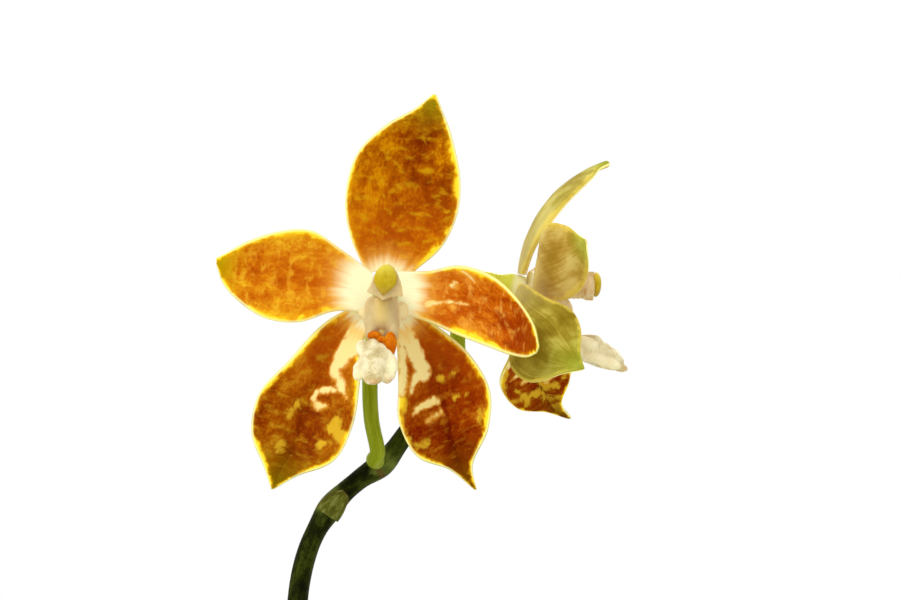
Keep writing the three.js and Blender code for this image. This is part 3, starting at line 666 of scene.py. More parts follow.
def root_look():
    look = Look("velamen")
    place = look.place()
    clouds = look.noise(place, 160.0, 5.0)
    tone = look.weighted((clouds, 0.7), (look.noise(place, 1600.0), 0.3))
    colour = look.shades(tone, (rgb(126, 138, 104), rgb(168, 174, 148), rgb(204, 206, 188)))
    tip = look.plus(look.value("along"), look.times(clouds, 0.08))
    colour = look.fade(colour, rgb(122, 144, 66), tip, 0.86, 0.98)
    stain = look.span(look.noise(place, 70.0), 0.58, 0.7)
    colour = look.mix(stain, colour, rgb(126, 104, 72), 0.5)
    return look.finish(colour, 0.75, 0.2, tone, 0.0003)


def crown_look():
    look = Look("stem_sheaths")
    place = look.place()
    fibres = look.noise(place, (900.0, 900.0, 60.0), 4.0)
    clouds = look.noise(place, 140.0, 5.0)
    tone = look.weighted((fibres, 0.5), (clouds, 0.5))
    dry = look.shades(tone, (rgb(84, 58, 34), rgb(128, 98, 60), rgb(172, 146, 100)))
    green = look.shades(tone, (rgb(88, 112, 48), rgb(136, 156, 82)))
    height = look.plus(look.part(place, 2), look.centred(clouds, 0.02))
    return look.finish(look.fade(dry, green, height, 0.078, 0.094), 0.7, 0.2, tone, 0.0004)


def spike_look():
    look = Look("spike_skin")
    around = look.field("round")
    streaks = look.noise(around, (1.6, 1.6, 0.16))
    grain = look.noise(around, (7.0, 7.0, 2.6))
    clouds = look.noise(around, (0.9, 0.9, 0.35))
    ridge = look.noise(around, (1.2, 1.2, 0.5), 4.0)
    specks = look.noise(around, (9.0, 9.0, 1.6), 2.0)
    tone = look.weighted((streaks, 0.35), (grain, 0.2), (clouds, 0.45))
    # near-black green: partly the spike's own dark green, partly painted shade of the backlit stalk
    colour = look.shades(tone, (rgb(10, 12, 0), rgb(26, 31, 0), rgb(58, 68, 10)), 0.34, 0.66)
    # painted highlights: pale green bands on the swollen joints just above each node
    pale = look.plus(look.value("pale"), look.centred(ridge, 1.2))
    colour = look.fade(colour, rgb(116, 128, 50), pale, 0.3, 0.95, 0.0, 0.8)
    colour = look.mix(look.span(look.value("scar"), 0.3, 0.8), colour, rgb(92, 66, 30), 0.6)
    colour = look.mix(look.span(specks, 0.68, 0.76), colour, rgb(92, 104, 36), 0.4)
    return look.finish(colour, 0.5, 0.03, tone, 0.0001)


def pedicel_look():
    look = Look("pedicel_skin")
    around = look.field("round")
    along = look.value("along")
    streaks = look.noise(around, (2.6, 2.6, 0.2))
    grain = look.noise(around, (9.0, 9.0, 3.0))
    tone = look.weighted((streaks, 0.7), (grain, 0.3))
    colour = look.shades(tone, (rgb(128, 144, 14), rgb(142, 156, 24), rgb(158, 170, 40)))
    colour = look.fade(colour, rgb(120, 128, 12), along, 0.0, 0.16, 0.4, 0.0)
    colour = look.fade(colour, rgb(232, 230, 84), along, 0.4, 0.75, 0.0, 0.85)
    colour = look.fade(colour, rgb(250, 246, 190), along, 0.92, 0.96)
    return look.finish(colour, 0.4, 0.06, tone, 0.00015, SOFT_PEDICEL)


def bract_look():
    look = Look("papery_bract")
    veins = look.field("veins")
    fibres = look.noise(veins, (9.0, 1.5, 1.0), 4.0)
    clouds = look.noise(veins, (2.0, 2.0, 1.0), 4.0)
    tone = look.weighted((fibres, 0.35), (clouds, 0.65))
    colour = look.shades(tone, (rgb(72, 76, 14), rgb(98, 102, 30), rgb(140, 142, 74)))
    edge = look.plus(look.value("edge"), look.times(clouds, 0.8))
    colour = look.fade(colour, rgb(104, 78, 40), edge, 0.3, 0.9, 0.8, 0.0)
    return look.finish(colour, 0.7, 0.06, fibres, 0.0002)


def lip_look():
    look = Look("lip_tissue")
    place = look.field("flower")
    side, depth, height = (look.part(place, axis) for axis in range(3))
    lumps = look.noise(place, 0.55, 4.0)
    tone = look.weighted((lumps, 0.7), (look.noise(place, 3.2), 0.3))
    # the crusty lobe in front, with pale flanks and a darker, browner underside: partly the lobe's own tint,
    # partly painted shade
    lobe = look.shades(tone, (rgb(190, 170, 118), rgb(212, 198, 150), rgb(236, 226, 188)), 0.34, 0.66)
    lobe = look.fade(lobe, rgb(250, 243, 200), look.size(look.plus(side, 1.3)), 0.6, 3.0, 0.0, 0.75)
    low = look.span(height, -12.6, -10.8, 1.0, 0.0)
    low_tint_and_shade = look.times(look.span(look.noise(place, 0.8, 2.0), 0.56, 0.68), low)
    lobe = look.mix(low_tint_and_shade, lobe, rgb(200, 164, 84), 0.6)
    bottom_tint_and_shade = look.times(look.span(height, -13.0, -11.6, 0.7, 0.0),
                       look.span(look.noise(place, 0.9, 2.0), 0.42, 0.56, 1.0, 0.0))
    lobe = look.mix(bottom_tint_and_shade, lobe, rgb(196, 140, 76))
    # the cheeks behind it, yellower in the middle and paler at their sides
    cheek = look.shades(tone, (rgb(194, 170, 120), rgb(204, 182, 130), rgb(216, 196, 144)), 0.2, 0.8)
    out = look.size(look.plus(side, 0.35))
    upper = look.times(look.span(out, 0.1, 1.7, 0.9, 0.0), look.span(height, -5.6, -3.2))
    cheek = look.mix(upper, cheek, rgb(222, 196, 118))
    slit = look.times(look.span(out, 0.1, 0.5, 0.9, 0.0), look.span(height, -5.6, -5.0, 1.0, 0.0))
    cheek = look.mix(slit, cheek, rgb(226, 202, 118))
    cheek = look.fade(cheek, rgb(236, 218, 158), out, 2.3, 2.75, 0.0, 0.9)
    colour = look.fade(cheek, lobe, depth, -10.4, -9.6, 1.0, 0.0)
    # a brown stain under the lobe
    away = look.add("VectorMath", {0: look.scaled(place, (1.0, 0.35, 1.3)), 1: (-1.2, -4.9, -17.0)},
                    "Value", operation="DISTANCE")
    away = look.plus(away, look.centred(lumps, 1.6))
    colour = look.fade(colour, rgb(176, 122, 84), away, 0.3, 1.3, 0.8, 0.0)
    return look.finish(colour, 0.45, 0.08, tone, 0.0001, SOFT_LIP)


def fleshy_look(name, *colours):
    """The start of a plain waxy look: itself, the place it reads, its tone and its colour."""
    look = Look(name)
    place = look.field("flower")
    tone = look.weighted((look.noise(place, 0.7, 4.0), 0.6), (look.noise(place, 4.5), 0.4))
    return look, place, tone, look.shades(tone, colours)


def callus_look():
    look, _, tone, colour = fleshy_look(
        "callus_tissue", rgb(198, 92, 0), rgb(208, 110, 2), rgb(222, 136, 18))
    return look.finish(colour, WAXY, 0.04, tone, 0.00006)


def column_look():
    look, place, tone, colour = fleshy_look(
        "column_tissue", rgb(200, 176, 122), rgb(210, 187, 134), rgb(220, 200, 150))
    colour = look.mix(look.span(look.part(place, 0), -1.8, 2.2), colour, rgb(204, 176, 114), 0.55)
    colour = look.fade(colour, rgb(250, 246, 206), look.part(place, 1), -8.5, -3.5)
    return look.finish(colour, WAXY, 0.08, tone, 0.00003, SOFT_LIP)


def anther_look():
    look, place, tone, colour = fleshy_look(
        "anther_tissue", rgb(176, 148, 16), rgb(188, 160, 24), rgb(198, 174, 38))
    height = look.part(place, 2)
    # darker towards the bottom of the cap, with a painted highlight on its pointed top
    colour = look.fade(colour, rgb(172, 140, 56), height, -0.6, 1.2, 0.75, 0.0)
    colour = look.fade(colour, rgb(226, 214, 84), height, 2.0, 3.8, 0.0, 0.6)
    return look.finish(colour, WAXY, 0.08, tone, 0.00003, SOFT_ANTHER)


LEAF_LOOK = leaf_look()
CLAY_LOOK = terracotta_look()
BARK_LOOK = bark_look()
ROOT_LOOK = root_look()
CROWN_LOOK = crown_look()
SPIKE_LOOK = spike_look()
PEDICEL_LOOK = pedicel_look()
BRACT_LOOK = bract_look()
LIP_LOOK = lip_look()
CALLUS_LOOK = callus_look()
COLUMN_LOOK = column_look()
ANTHER_LOOK = anther_look()


# The pot.
POT_SEGMENTS = 160
POT_ROW = 1.6
POT_CORNER = 1.2
RIM_ROUNDING = 1.8
DRILL_SEGMENTS = 40


def inner_radius(z):
    share = (z - POT_FLOOR) / (POT_HEIGHT - POT_FLOOR)
    return lerp(POT_BASE_RADIUS - POT_WALL + 0.8, POT_SHOULDER_RADIUS - POT_WALL + 2.6, share)


def rounded_rim(centre, radius, start, stop, count=5):
    """Points on an arc, so that the rim's corners are soft."""
    angles = np.radians(np.linspace(start, stop, count))
    return [[centre[0] + radius * math.cos(a), centre[1] + radius * math.sin(a)] for a in angles]


def make_pot():
    shoulder = POT_HEIGHT - POT_RIM_HEIGHT
    profile = [
        [0, 0],
        [POT_BASE_RADIUS - POT_CORNER, 0],
        [POT_BASE_RADIUS - 0.35, 0.35],
        [POT_BASE_RADIUS, POT_CORNER],
        [POT_SHOULDER_RADIUS - 0.2, shoulder - POT_CORNER],
        [POT_SHOULDER_RADIUS + 0.3, shoulder],
        *rounded_rim([POT_RIM_RADIUS - 1.9, shoulder + 2.0], RIM_ROUNDING - 0.1, -80, 0),
        *rounded_rim([POT_RIM_RADIUS - 1.9, POT_HEIGHT - 2.1], RIM_ROUNDING, 0, 90),
        *rounded_rim([inner_radius(POT_HEIGHT) + 1.5, POT_HEIGHT - 1.5], 1.5, 90, 180),
        [inner_radius(POT_FLOOR) + 0.2, POT_FLOOR + POT_CORNER],
        [inner_radius(POT_FLOOR) - 1, POT_FLOOR],
        [0, POT_FLOOR],
    ]

    def wobble(radius, height, angle):
        """Throwing rings and soft lumps, but none on the floor and foot."""
        ring = 0.14 * rough_noise(np.stack([np.cos(angle), height, np.sin(angle)], -1), 2.6, 2, 5)
        lump = 0.3 * rough_noise(rolled(angle, height / 30, 2), 1.0, 2, 8)
        return (ring + lump - 0.25) * (radius > POT_BASE_RADIUS - 2)

    points, faces = lathe(resampled(profile, POT_ROW), POT_SEGMENTS, wobble)
    pierce(add_piece("pot", CLAY_LOOK, points, faces, {}))


def pierce(pot):
    """The drain holes."""
    cutters = []
    for index in range(DRAIN_HOLES):
        angle = (index + 0.25) / DRAIN_HOLES * 2 * math.pi
        bm = bmesh.new()
        centre = Vector((math.cos(angle), math.sin(angle), 0)) * DRAIN_RING_RADIUS * MM
        bmesh.ops.create_cone(bm, cap_ends=True, segments=DRILL_SEGMENTS, radius1=DRAIN_RADIUS * MM,
                              radius2=DRAIN_RADIUS * MM, depth=POT_FLOOR * 3 * MM,
                              matrix=Matrix.Translation(centre))
        drill = linked("drill", mesh_from("drill", bm))
        cutters.append(drill)
        cut = pot.modifiers.new("hole", "BOOLEAN")
        cut.operation = "DIFFERENCE"
        cut.object = drill
        cut.solver = "EXACT"
    graph = bpy.context.evaluated_depsgraph_get()
    pierced = bpy.data.meshes.new_from_object(pot.evaluated_get(graph))
    pot.modifiers.clear()
    pot.data = pierced
    pierced.shade_smooth()
    for drill in cutters:
        bpy.data.objects.remove(drill)


# The roots.
ROOT_RADIUS = 2.3
ROOT_PATHS = [
    [[5.8, 4.0, 77.5], [8.6, 5.9, 78.2], [19, 12, 81], [27, 18, 76.5], [30, 21, 68], [31, 23, 60]],
    [[-3.6, 6.1, 78], [-5.4, 8.9, 78.6], [-12, 20, 81.5], [-19, 28, 77], [-22, 31, 69], [-23, 32, 61]],
    [[-5.5, -4.5, 77.5], [-8.2, -6.8, 78], [-14, -17, 80.5], [-17, -26, 76], [-18, -30, 68], [-18, -31, 60]],
    [[5.2, -4.8, 78], [8.0, -7.2, 79], [17, -20, 85], [27.5, -38, 92.5], [33.5, -48, 87], [34.5, -49.5, 66],
     [32, -46.5, 44]],
]


def root_radius(t):
    return ROOT_RADIUS * (1 - 0.35 * smoothstep(t, 0.7, 1)) * (1 - 0.5 * smoothstep(t, 0.97, 1))


def make_roots():
    for index, way in enumerate(ROOT_PATHS):
        path = Path(way)

        def skin(t, angle, seed=index):
            tip = np.sqrt(np.clip(1 - smoothstep(t, 0.965, 1.0) ** 3, 0.05, 1))
            return (1 + 0.07 * rough_noise(rolled(angle, t * path.length / 5), 0.9, 3, 20 + seed)) * tip

        points, faces, fields = tube(path, root_radius, *ROOT_MESH, skin)
        add_piece(f"root_{index + 1}", ROOT_LOOK, points, faces, fields)


# The bark: the same bed and chips as the solid part, roughened, with small crumbs between.
BARK_SEED = 41
DRAW_FACTOR = 1664525
DRAW_STEP = 1013904223
CRUMBS = 120
CRUMB_CUTS = 4
CHIP_CUTS = 9
GOLDEN_ANGLE = 2.39996
CHIP_TAPER = 0.28
BED_SEGMENTS = 96
BED_ROW = 2.4


def seeded_random(seed):
    """The solid part's own generator, so that its chips come out the same here."""
    state = seed

    def draw():
        nonlocal state
        state = (state * DRAW_FACTOR + DRAW_STEP) % 2**32
        return state / 2**32

    return draw


def chip_mesh(size, cuts, seed):
    """A rough split block round its middle: its points, the same before wear, and its quads."""
    bm = bmesh.new()
    bmesh.ops.create_cube(bm, size=1)
    bmesh.ops.subdivide_edges(bm, edges=bm.edges, cuts=cuts, use_grid_fill=True)
    bm.verts.ensure_lookup_table()
    points = np.array([v.co for v in bm.verts])
    faces = [[v.index for v in f.verts] for f in bm.faces]
    bm.free()
    round_off = 1 - 0.10 * (np.sum(np.abs(points * 2) ** 8, axis=1) - 1) / 2
    shaped = points * round_off[:, None]
    to_end = np.clip(points[:, 0] * 4, -1, 1)
    to_corner = np.clip((points[:, 1] + 2 * points[:, 2]) * 4, -1, 1)
    shaped[:, 1] *= 1 - CHIP_TAPER * to_end * to_corner
    layers = shaped * np.array(size)
    wear = rough_noise(layers * np.array([0.5, 0.8, 2.2]), 3.2, 3, seed)
    steps = np.round(layers[:, 2] * 0.9 + rough_noise(layers, 6, 2, seed + 9)) % 2
    return layers * (1 + 0.05 * wear - 0.02 * steps)[:, None], layers, faces


def bed_edge(z):
    """The radius of the bark inside the pot's wall."""
    return inner_radius(z) - CLEARANCE - 0.1


def bark_bed():
    low = POT_FLOOR + CLEARANCE
    top = BARK_TOP - 1
    profile = [[0, low], [bed_edge(low), low], [bed_edge(BARK_TOP) - 0.2, top], [0, top]]
    points, faces = lathe(resampled(profile, BED_ROW), BED_SEGMENTS)
    share = smoothstep(points[:, 2], BARK_TOP - 3, top)
    points[:, 2] += share * 1.6 * rough_noise(points, 5, 3, 77)
    return points, faces


def scattered(draw, count, sizes, tilts, heights, cuts, start=None):
    """Chips spread like a sunflower's seeds, each as its size, turn, place and cuts.

    start is the angle of the first one; without it every chip draws an angle to add.
    """
    chips = []
    for index in range(count):
        size = [lerp(*ends, draw()) for ends in sizes]
        turn = [lerp(-tilt, tilt, draw()) for tilt in tilts] + [draw() * math.pi]
        radius = (bed_edge(BARK_TOP) - 3) * math.sqrt((index + 0.5) / count)
        angle = index * GOLDEN_ANGLE + (draw() if start is None else start)
        height = BARK_TOP + lerp(*heights, draw())
        chips.append((size, turn, [radius * math.cos(angle), radius * math.sin(angle), height], cuts))
    return chips


def make_bark():
    draw = seeded_random(BARK_SEED)
    chips = scattered(draw, BARK_CHIPS, ((14, 23), (9, 14), (4, 7)), (0.5, 0.45), (-0.6, 1.8), CHIP_CUTS)
    chips += scattered(draw, CRUMBS, ((4, 11), (3, 7), (1.6, 3.6)), (0.5, 0.5), (0.6, 4.2), CRUMB_CUTS, 1.7)
    bed_points, bed_faces = bark_bed()
    batches = [(bed_points, bed_points, bed_faces, 0.1)]
    for index, (size, turn, place, cuts) in enumerate(chips):
        shaped, layers, faces = chip_mesh(size, cuts, 100 + index)
        placed = shaped @ np.array(Euler(turn, "XYZ").to_matrix()).T + np.array(place)
        batches.append((placed, layers + 13.7 * index, faces, (index * 0.618) % 1))
    faces, tints, count = [], [], 0
    for placed, _, part, tint in batches:
        faces.extend([[v + count for v in f] for f in part])
        tints.append(np.full(len(placed), tint))
        count += len(placed)
    points = np.vstack([batch[0] for batch in batches])
    # nothing goes through the pot's wall or over its rim
    reach = np.linalg.norm(points[:, :2], axis=1)
    most = bed_edge(np.minimum(points[:, 2], POT_HEIGHT))
    held = np.where(reach > most, most / np.maximum(reach, 1e-9), 1)
    points[:, :2] *= held[:, None]
    points[:, 2] = np.minimum(points[:, 2], POT_HEIGHT - 0.2)
    fields = {"chip": np.concatenate(tints), "layers": np.vstack([batch[1] for batch in batches])}
    add_piece("potting_bark", BARK_LOOK, points, faces, fields)


# The stem, with the rings of old sheaths round its foot.
STEM_ROWS = 150
STEM_SEGMENTS = 72


def make_stem():
    t = np.linspace(0, 1, STEM_ROWS + 1)
    crown = np.sqrt(np.clip(1 - smoothstep(t, 0.78, 1) ** 2 * 0.86, 0, 1))
    ring = 0.25 * np.sin(t * 26) * (1 - smoothstep(t, 0.35, 0.5))
    radii = (STEM_RADIUS - 0.3 + ring) * crown
    profile = [[0, STEM_FOOT], *np.stack([radii, lerp(STEM_FOOT, STEM_TOP, t)], -1), [0, STEM_TOP]]

    def wobble(radius, height, angle):
        return 0.35 * rough_noise(rolled(angle, height * 0.25, 5), 1.5, 3, 31) * np.minimum(1, radius / 3)

    points, faces = lathe(profile, STEM_SEGMENTS, wobble)
    add_piece("plant_stem", CROWN_LOOK, points, faces, {})


# The leaves.
LEAVES = [
    dict(heading=4, foot=83, length=128, width=40, rise=24, fall=-34),
    dict(heading=183, foot=87.5, length=134, width=42, rise=30, fall=-30),
    dict(heading=-4, foot=94.5, length=126, width=41, rise=42, fall=-24),
    dict(heading=176, foot=99, length=112, width=38, rise=50, fall=-12),
    dict(heading=6, foot=105.5, length=82, width=31, rise=66, fall=22),
]
LEAF_OUTLINE = np.array([[0, 9.4], [0.08, 8.8], [0.2, 11.4], [0.42, 17.6], [0.64, 20.5], [0.83, 17.6],
                         [0.94, 11.4], [0.985, 5.6], [1, 2.2]])
OUTLINE_HALF_WIDTH = 20.5
LEAF_FOOT_RADIUS = STEM_RADIUS + 0.35 + LEAF_THICKNESS / 2
OPEN_LEAF_RADIUS = 52
SPINE_STEPS = 160


def outline_at(outline, t):
    """The outline's half width at t, as a smooth curve through its points."""
    high_index = np.clip(np.searchsorted(outline[:, 0], t, side="left"), 1, len(outline) - 1)
    rows = [np.clip(high_index + k, 0, len(outline) - 1) for k in (-2, -1, 0, 1)]
    before, low, high, after = (outline[r] for r in rows)
    span = high[..., 0] - low[..., 0]
    s = (t - low[..., 0]) / span
    slope_in = (high[..., 1] - before[..., 1]) / (high[..., 0] - before[..., 0]) * span
    slope_out = (after[..., 1] - low[..., 1]) / (after[..., 0] - low[..., 0]) * span
    return ((2 * s**3 - 3 * s**2 + 1) * low[..., 1] + (s**3 - 2 * s**2 + s) * slope_in
            + (s**3 - s**2) * slope_out + (3 * s**2 - 2 * s**3) * high[..., 1])


def leaf_slope(leaf, t):
    sheath = 1 - smoothstep(t * leaf["length"], 3, 20)
    return np.radians(lerp(lerp(leaf["rise"], leaf["fall"], t**1.15), 86, sheath))


def leaf_half_width(leaf, t):
    widening = lerp(1, leaf["width"] / 2 / OUTLINE_HALF_WIDTH, smoothstep(t, 0.05, 0.4))
    return outline_at(LEAF_OUTLINE, t) * widening


def leaf_surface(leaf):
    marks = np.arange(SPINE_STEPS + 1)
    slopes = leaf_slope(leaf, (marks[:-1] + 0.5) / SPINE_STEPS)
    steps = np.stack([np.cos(slopes), np.sin(slopes)], -1) * leaf["length"] / SPINE_STEPS
    start = np.array([LEAF_FOOT_RADIUS, leaf["foot"]])
    spine = np.vstack([start, start + np.cumsum(steps, axis=0)])
    heading = math.radians(leaf["heading"])

    def surface(t, u):
        middle_x, middle_z = (np.interp(t * SPINE_STEPS, marks, spine[:, axis]) for axis in range(2))
        slope = leaf_slope(leaf, t)
        w = u * leaf_half_width(leaf, t)
        opened = smoothstep(t * leaf["length"], 2, 46)
        curvature = lerp(1 / LEAF_FOOT_RADIUS, 1 / OPEN_LEAF_RADIUS, opened**0.7)
        side = np.sin(curvature * w) / curvature
        channel = 1.5 * opened * (1 - hill(w, 0, 5))
        channel = channel + 0.5 * opened * u * u * np.sin(9 * t + leaf["heading"])
        lift = (1 - np.cos(curvature * w)) / curvature + channel
        x = middle_x - np.sin(slope) * lift
        z = middle_z + np.cos(slope) * lift
        return np.stack([x * math.cos(heading) - side * math.sin(heading),
                         x * math.sin(heading) + side * math.cos(heading), z], -1)

    return surface


def leaf_thickness(t, u):
    return LEAF_THICKNESS * (1 - 0.45 * u * u) * (1 - 0.4 * smoothstep(t, 0.7, 1))


def make_leaves():
    for index, leaf in enumerate(LEAVES):

        def relief(t, u, middle, seed=index):
            return 0.3 * smoothstep(t, 0.15, 0.4) * rough_noise(middle, 16, 2, 40 + seed)

        points, faces, t, u, face = blade(leaf_surface(leaf), leaf_thickness, *LEAF_MESH, relief)
        fields = blade_fields(t, u, leaf_half_width(leaf, t), leaf["length"], index, 50 * index)
        fields["face"] = face
        add_piece(f"leaf_{index + 1}", LEAF_LOOK, points, faces, fields)


# The spike.
SPIKE_PATH = Path([
    [0, -8.6, 92], [-0.4, -12.5, 98], [-3, -16, 115], [-9, -13.5, 145], [-14, -6, 175],
    [-14.8, -1, 195], [-13.4, 0, 202.2], [-11.3, 0.5, 206.8], [-8.8, 0.8, 210.2], [-5.6, 1, 213],
    [-1.9, 1, 215.6], [1.3, 1, 219.8], [4.9, 1, 224.8], [4.0, 2.4, 228.6], [1.8, 3.6, 231.6]])
SPIKE_NODES = {
    "lower_bract": SPIKE_PATH.share_at(2.2),
    "middle_bract": SPIKE_PATH.share_at(4.1),
    "upper_bract": SPIKE_PATH.share_at(7.55),
    "flower_1": SPIKE_PATH.share_at(9.85),
    "flower_2": SPIKE_PATH.share_at(12),
}


def spike_radius(t):
    taper = lerp(SPIKE_RADIUS + 0.35, SPIKE_RADIUS - 0.15, t)
    joints = sum(0.4 * hill(t, node, 0.016) for node in SPIKE_NODES.values())
    thin = 1 - 0.42 * smoothstep(t, SPIKE_NODES["flower_2"] + 0.005, SPIKE_NODES["flower_2"] + 0.03)
    bud = 0.75 * hill(t, 0.985, 0.014)
    point = np.sqrt(1 - smoothstep(t, 0.982, 1) ** 2 * 0.9)
    return (taper * thin + joints + bud) * point


def make_spike():
    def skin(t, angle):
        return 1 + 0.035 * rough_noise(rolled(angle, t * SPIKE_PATH.length / 6), 0.8, 3, 51)

    points, faces, fields = tube(SPIKE_PATH, spike_radius, *SPIKE_MESH, skin)
    t = fields["along"]
    # where the painted highlights on the joints go
    fields["pale"] = sum(0.75 * hill(t, node + 0.004, 0.02) for node in SPIKE_NODES.values())
    fields["scar"] = sum(hill(t, node - 0.004, 0.0035) for node in SPIKE_NODES.values())
    add_piece("flower_spike", SPIKE_LOOK, points, faces, fields)


BRACTS = [
    dict(node="lower_bract", heading=-20, length=11, reach=74, flare=0.8),
    dict(node="middle_bract", heading=175, length=9, reach=72, flare=0.6),
    dict(node="upper_bract", heading=-80, length=4.4, reach=62, flare=0),
]
BRACT_HALF_WIDTH = 2.4
BRACT_FOOT = 0.25  # the share of a bract that is below its node


def bract_narrowing(t):
    return np.sqrt(1 - 0.9 * t * t)


def bract_thickness(t, u):
    return BRACT_THICKNESS * (0.8 - 0.35 * t)


def make_bracts():
    for index, bract in enumerate(BRACTS):
        heading = math.radians(bract["heading"])

        def surface(t, u, bract=bract, heading=heading):
            share = SPIKE_NODES[bract["node"]] + (t - BRACT_FOOT) * bract["length"] / SPIKE_PATH.length
            tangent = SPIKE_PATH.tangent(share)
            side = np.array([math.cos(heading), math.sin(heading), 0])
            side = unit(side - tangent * np.sum(tangent * side, -1, keepdims=True))
            other = np.cross(tangent, side)
            angle = (u * math.radians(bract["reach"]) * bract_narrowing(t))[..., None]
            radius = (spike_radius(share) + 0.25 + bract["flare"] * t * t)[..., None]
            return SPIKE_PATH.at(share) + side * (radius * np.cos(angle)) + other * (radius * np.sin(angle))

        points, faces, t, u, _ = blade(surface, bract_thickness, *BRACT_MESH)
        fields = blade_fields(t, u, BRACT_HALF_WIDTH * bract_narrowing(t), bract["length"], index)
        add_piece(f"spike_{bract['node']}", BRACT_LOOK, points, faces, fields)


# Petals and sepals, with each edge from base to tip as [across, up] from the flower's centre.
BLADES = {
    "dorsal_sepal": dict(
        left=[[-2.9, 3], [-5.1, 8.1], [-5.8, 13.6], [-4.0, 20.3], [0.5, 24.6], [4.6, 27.1], [7.2, 29.3]],
        right=[[4.3, 3], [8.3, 6.6], [10.6, 11.4], [11.0, 17.0], [9.9, 22.6], [8.6, 26.6], [7.7, 29.2]],
        layer=0, bend=[4, 20], cup=1.3, crease=0),
    "petal_left": dict(
        left=[[-1.9, -3.2], [-7.2, -2.8], [-12.6, -4.4], [-17.5, -3.8], [-21.5, -1.2], [-23.8, 1.4],
              [-24.8, 4.1]],
        right=[[-1.9, 2.9], [-6.2, 6.0], [-10.8, 8.95], [-15.8, 8.7], [-20.2, 7.25], [-22.9, 5.9],
               [-24.8, 4.95]],
        layer=1.5, bend=[8, 14], cup=1.4, crease=0),
    "petal_right": dict(
        left=[[1.9, 3.0], [6.5, 3.0], [11.0, 3.7], [16.1, 2.0], [20.4, -1.8], [23.1, -5.6], [24.0, -8.6]],
        right=[[1.9, -3.0], [6.6, -4.5], [11.2, -6.5], [15.8, -8.2], [19.6, -9.6], [22.2, -10.0],
               [23.6, -9.5]],
        layer=1.5, bend=[10, 34], cup=1.8, crease=0),
    "lateral_sepal_left": dict(
        left=[[-0.6, -3.3], [-3.4, -7.4], [-3.8, -13.6], [-4.7, -19.4], [-7.4, -24.6], [-12.8, -27.0],
              [-16.3, -29.1]],
        right=[[-3.7, -1.7], [-8.6, -4.4], [-14.2, -10.3], [-18.4, -15.1], [-19.4, -20.6], [-17.7, -25.7],
               [-16.7, -29.1]],
        layer=0, bend=[3, 16], cup=2.0, crease=1.1),
    "lateral_sepal_right": dict(
        left=[[2.9, -1.8], [7.6, -5.1], [12.3, -9.2], [15.3, -14.4], [15.1, -20.0], [12.9, -25.6],
              [13.6, -29.2]],
        right=[[0.6, -3.3], [1.7, -7.4], [2.0, -13.2], [2.1, -19.0], [4.8, -24.1], [9.6, -26.2],
               [13.2, -29.2]],
        layer=0, bend=[3, 16], cup=2.0, crease=1.1),
}

# Pale strokes and yellow patches on some blades: [across, up, half width] from the flower's centre.
CREAM_STROKES = {
    "lateral_sepal_left": [
        [[-3.6, -4.4, 1.2], [-4.0, -6.2, 1.4], [-4.7, -7.8, 1.4], [-5.7, -9.0, 1.3], [-6.6, -10.2, 1.0],
         [-7.3, -11.5, 0.65], [-6.9, -12.9, 0.6], [-6.2, -14.2, 0.5], [-5.4, -15.6, 0.15]],
        [[-7.4, -14.6, 0.3], [-9.0, -14.5, 0.3], [-10.0, -14.9, 0.42], [-10.5, -15.8, 0.48],
         [-10.1, -16.6, 0.5], [-9.3, -17.0, 0.42], [-8.5, -16.9, 0.12]],
    ],
    "lateral_sepal_right": [
        [[2.6, -4.2, 1.1], [3.0, -6.2, 1.2], [3.8, -8.2, 1.1], [4.7, -10.0, 1.05], [5.2, -11.4, 1.05],
         [5.3, -12.2, 0.9]],
        [[4.5, -12.4, 0.5], [4.1, -13.4, 0.35], [3.7, -14.8, 0.12]],
        [[2.3, -7.2, 0.6], [2.4, -10.0, 0.45], [2.4, -12.4, 0.6], [2.3, -14.6, 0.4]],
        [[4.0, -17.9, 0.1], [5.7, -16.8, 0.42], [6.8, -16.2, 0.55], [7.5, -16.4, 0.25]],
        [[6.1, -19.1, 0.3], [7.0, -18.5, 0.45], [8.0, -17.9, 0.3]],
    ],
    "petal_right": [
        [[6.4, -2.0, 0.3], [8.8, -1.7, 0.16], [10.6, -1.8, 0.1], [12.8, -2.1, 0.02]],
        [[9.9, 0.9, 0.1], [10.5, 1.1, 0.25], [10.8, 0.6, 0.1]],
        [[11.9, 3.0, 0.02], [12.9, 2.2, 0.12], [13.7, 1.4, 0.04]],
    ],
}
GOLD_PATCHES = {
    "lateral_sepal_left": [
        [[-6.8, -19.1, 0.5], [-7.4, -20.2, 1.0], [-6.3, -21.2, 0.7], [-6.0, -22.4, 0.4]],
        [[-9.3, -22.6, 0.4], [-9.5, -23.4, 0.3]],
        [[-15.8, -22.0, 0.4], [-15.5, -23.4, 0.3]],
        [[-14.3, -18.6, 0.3], [-13.3, -16.4, 0.25]],
    ],
    "lateral_sepal_right": [
        [[13.9, -18.4, 0.3], [14.8, -17.4, 0.5]],
        [[7.7, -12.8, 0.15], [9.8, -12.0, 0.2]],
        [[10.5, -15.6, 0.12], [12.1, -14.9, 0.18]],
        [[2.8, -21.9, 0.3], [4.5, -22.6, 0.25], [6.2, -22.4, 0.2]],
        [[2.3, -16.6, 0.5], [2.5, -20.2, 0.4]],
    ],
}


FAR_AWAY = 9.0  # what a blade without strokes gets as the distance


def stroke_distance(strokes, x, z):
    """Millimetres to the nearest stroke's border, below zero inside it."""
    nearest = np.full(x.shape, FAR_AWAY)
    place = np.stack([x, z], -1)
    for stroke in strokes:
        stroke = np.array(stroke, float)
        for low, high in zip(stroke, stroke[1:]):
            step = high[:2] - low[:2]
            share = np.clip((place - low[:2]) @ step / max(step @ step, 1e-9), 0, 1)
            middle = low[:2] + share[..., None] * step
            away = np.linalg.norm(place - middle, axis=-1) - lerp(low[2], high[2], share)
            nearest = np.minimum(nearest, away)
    return nearest


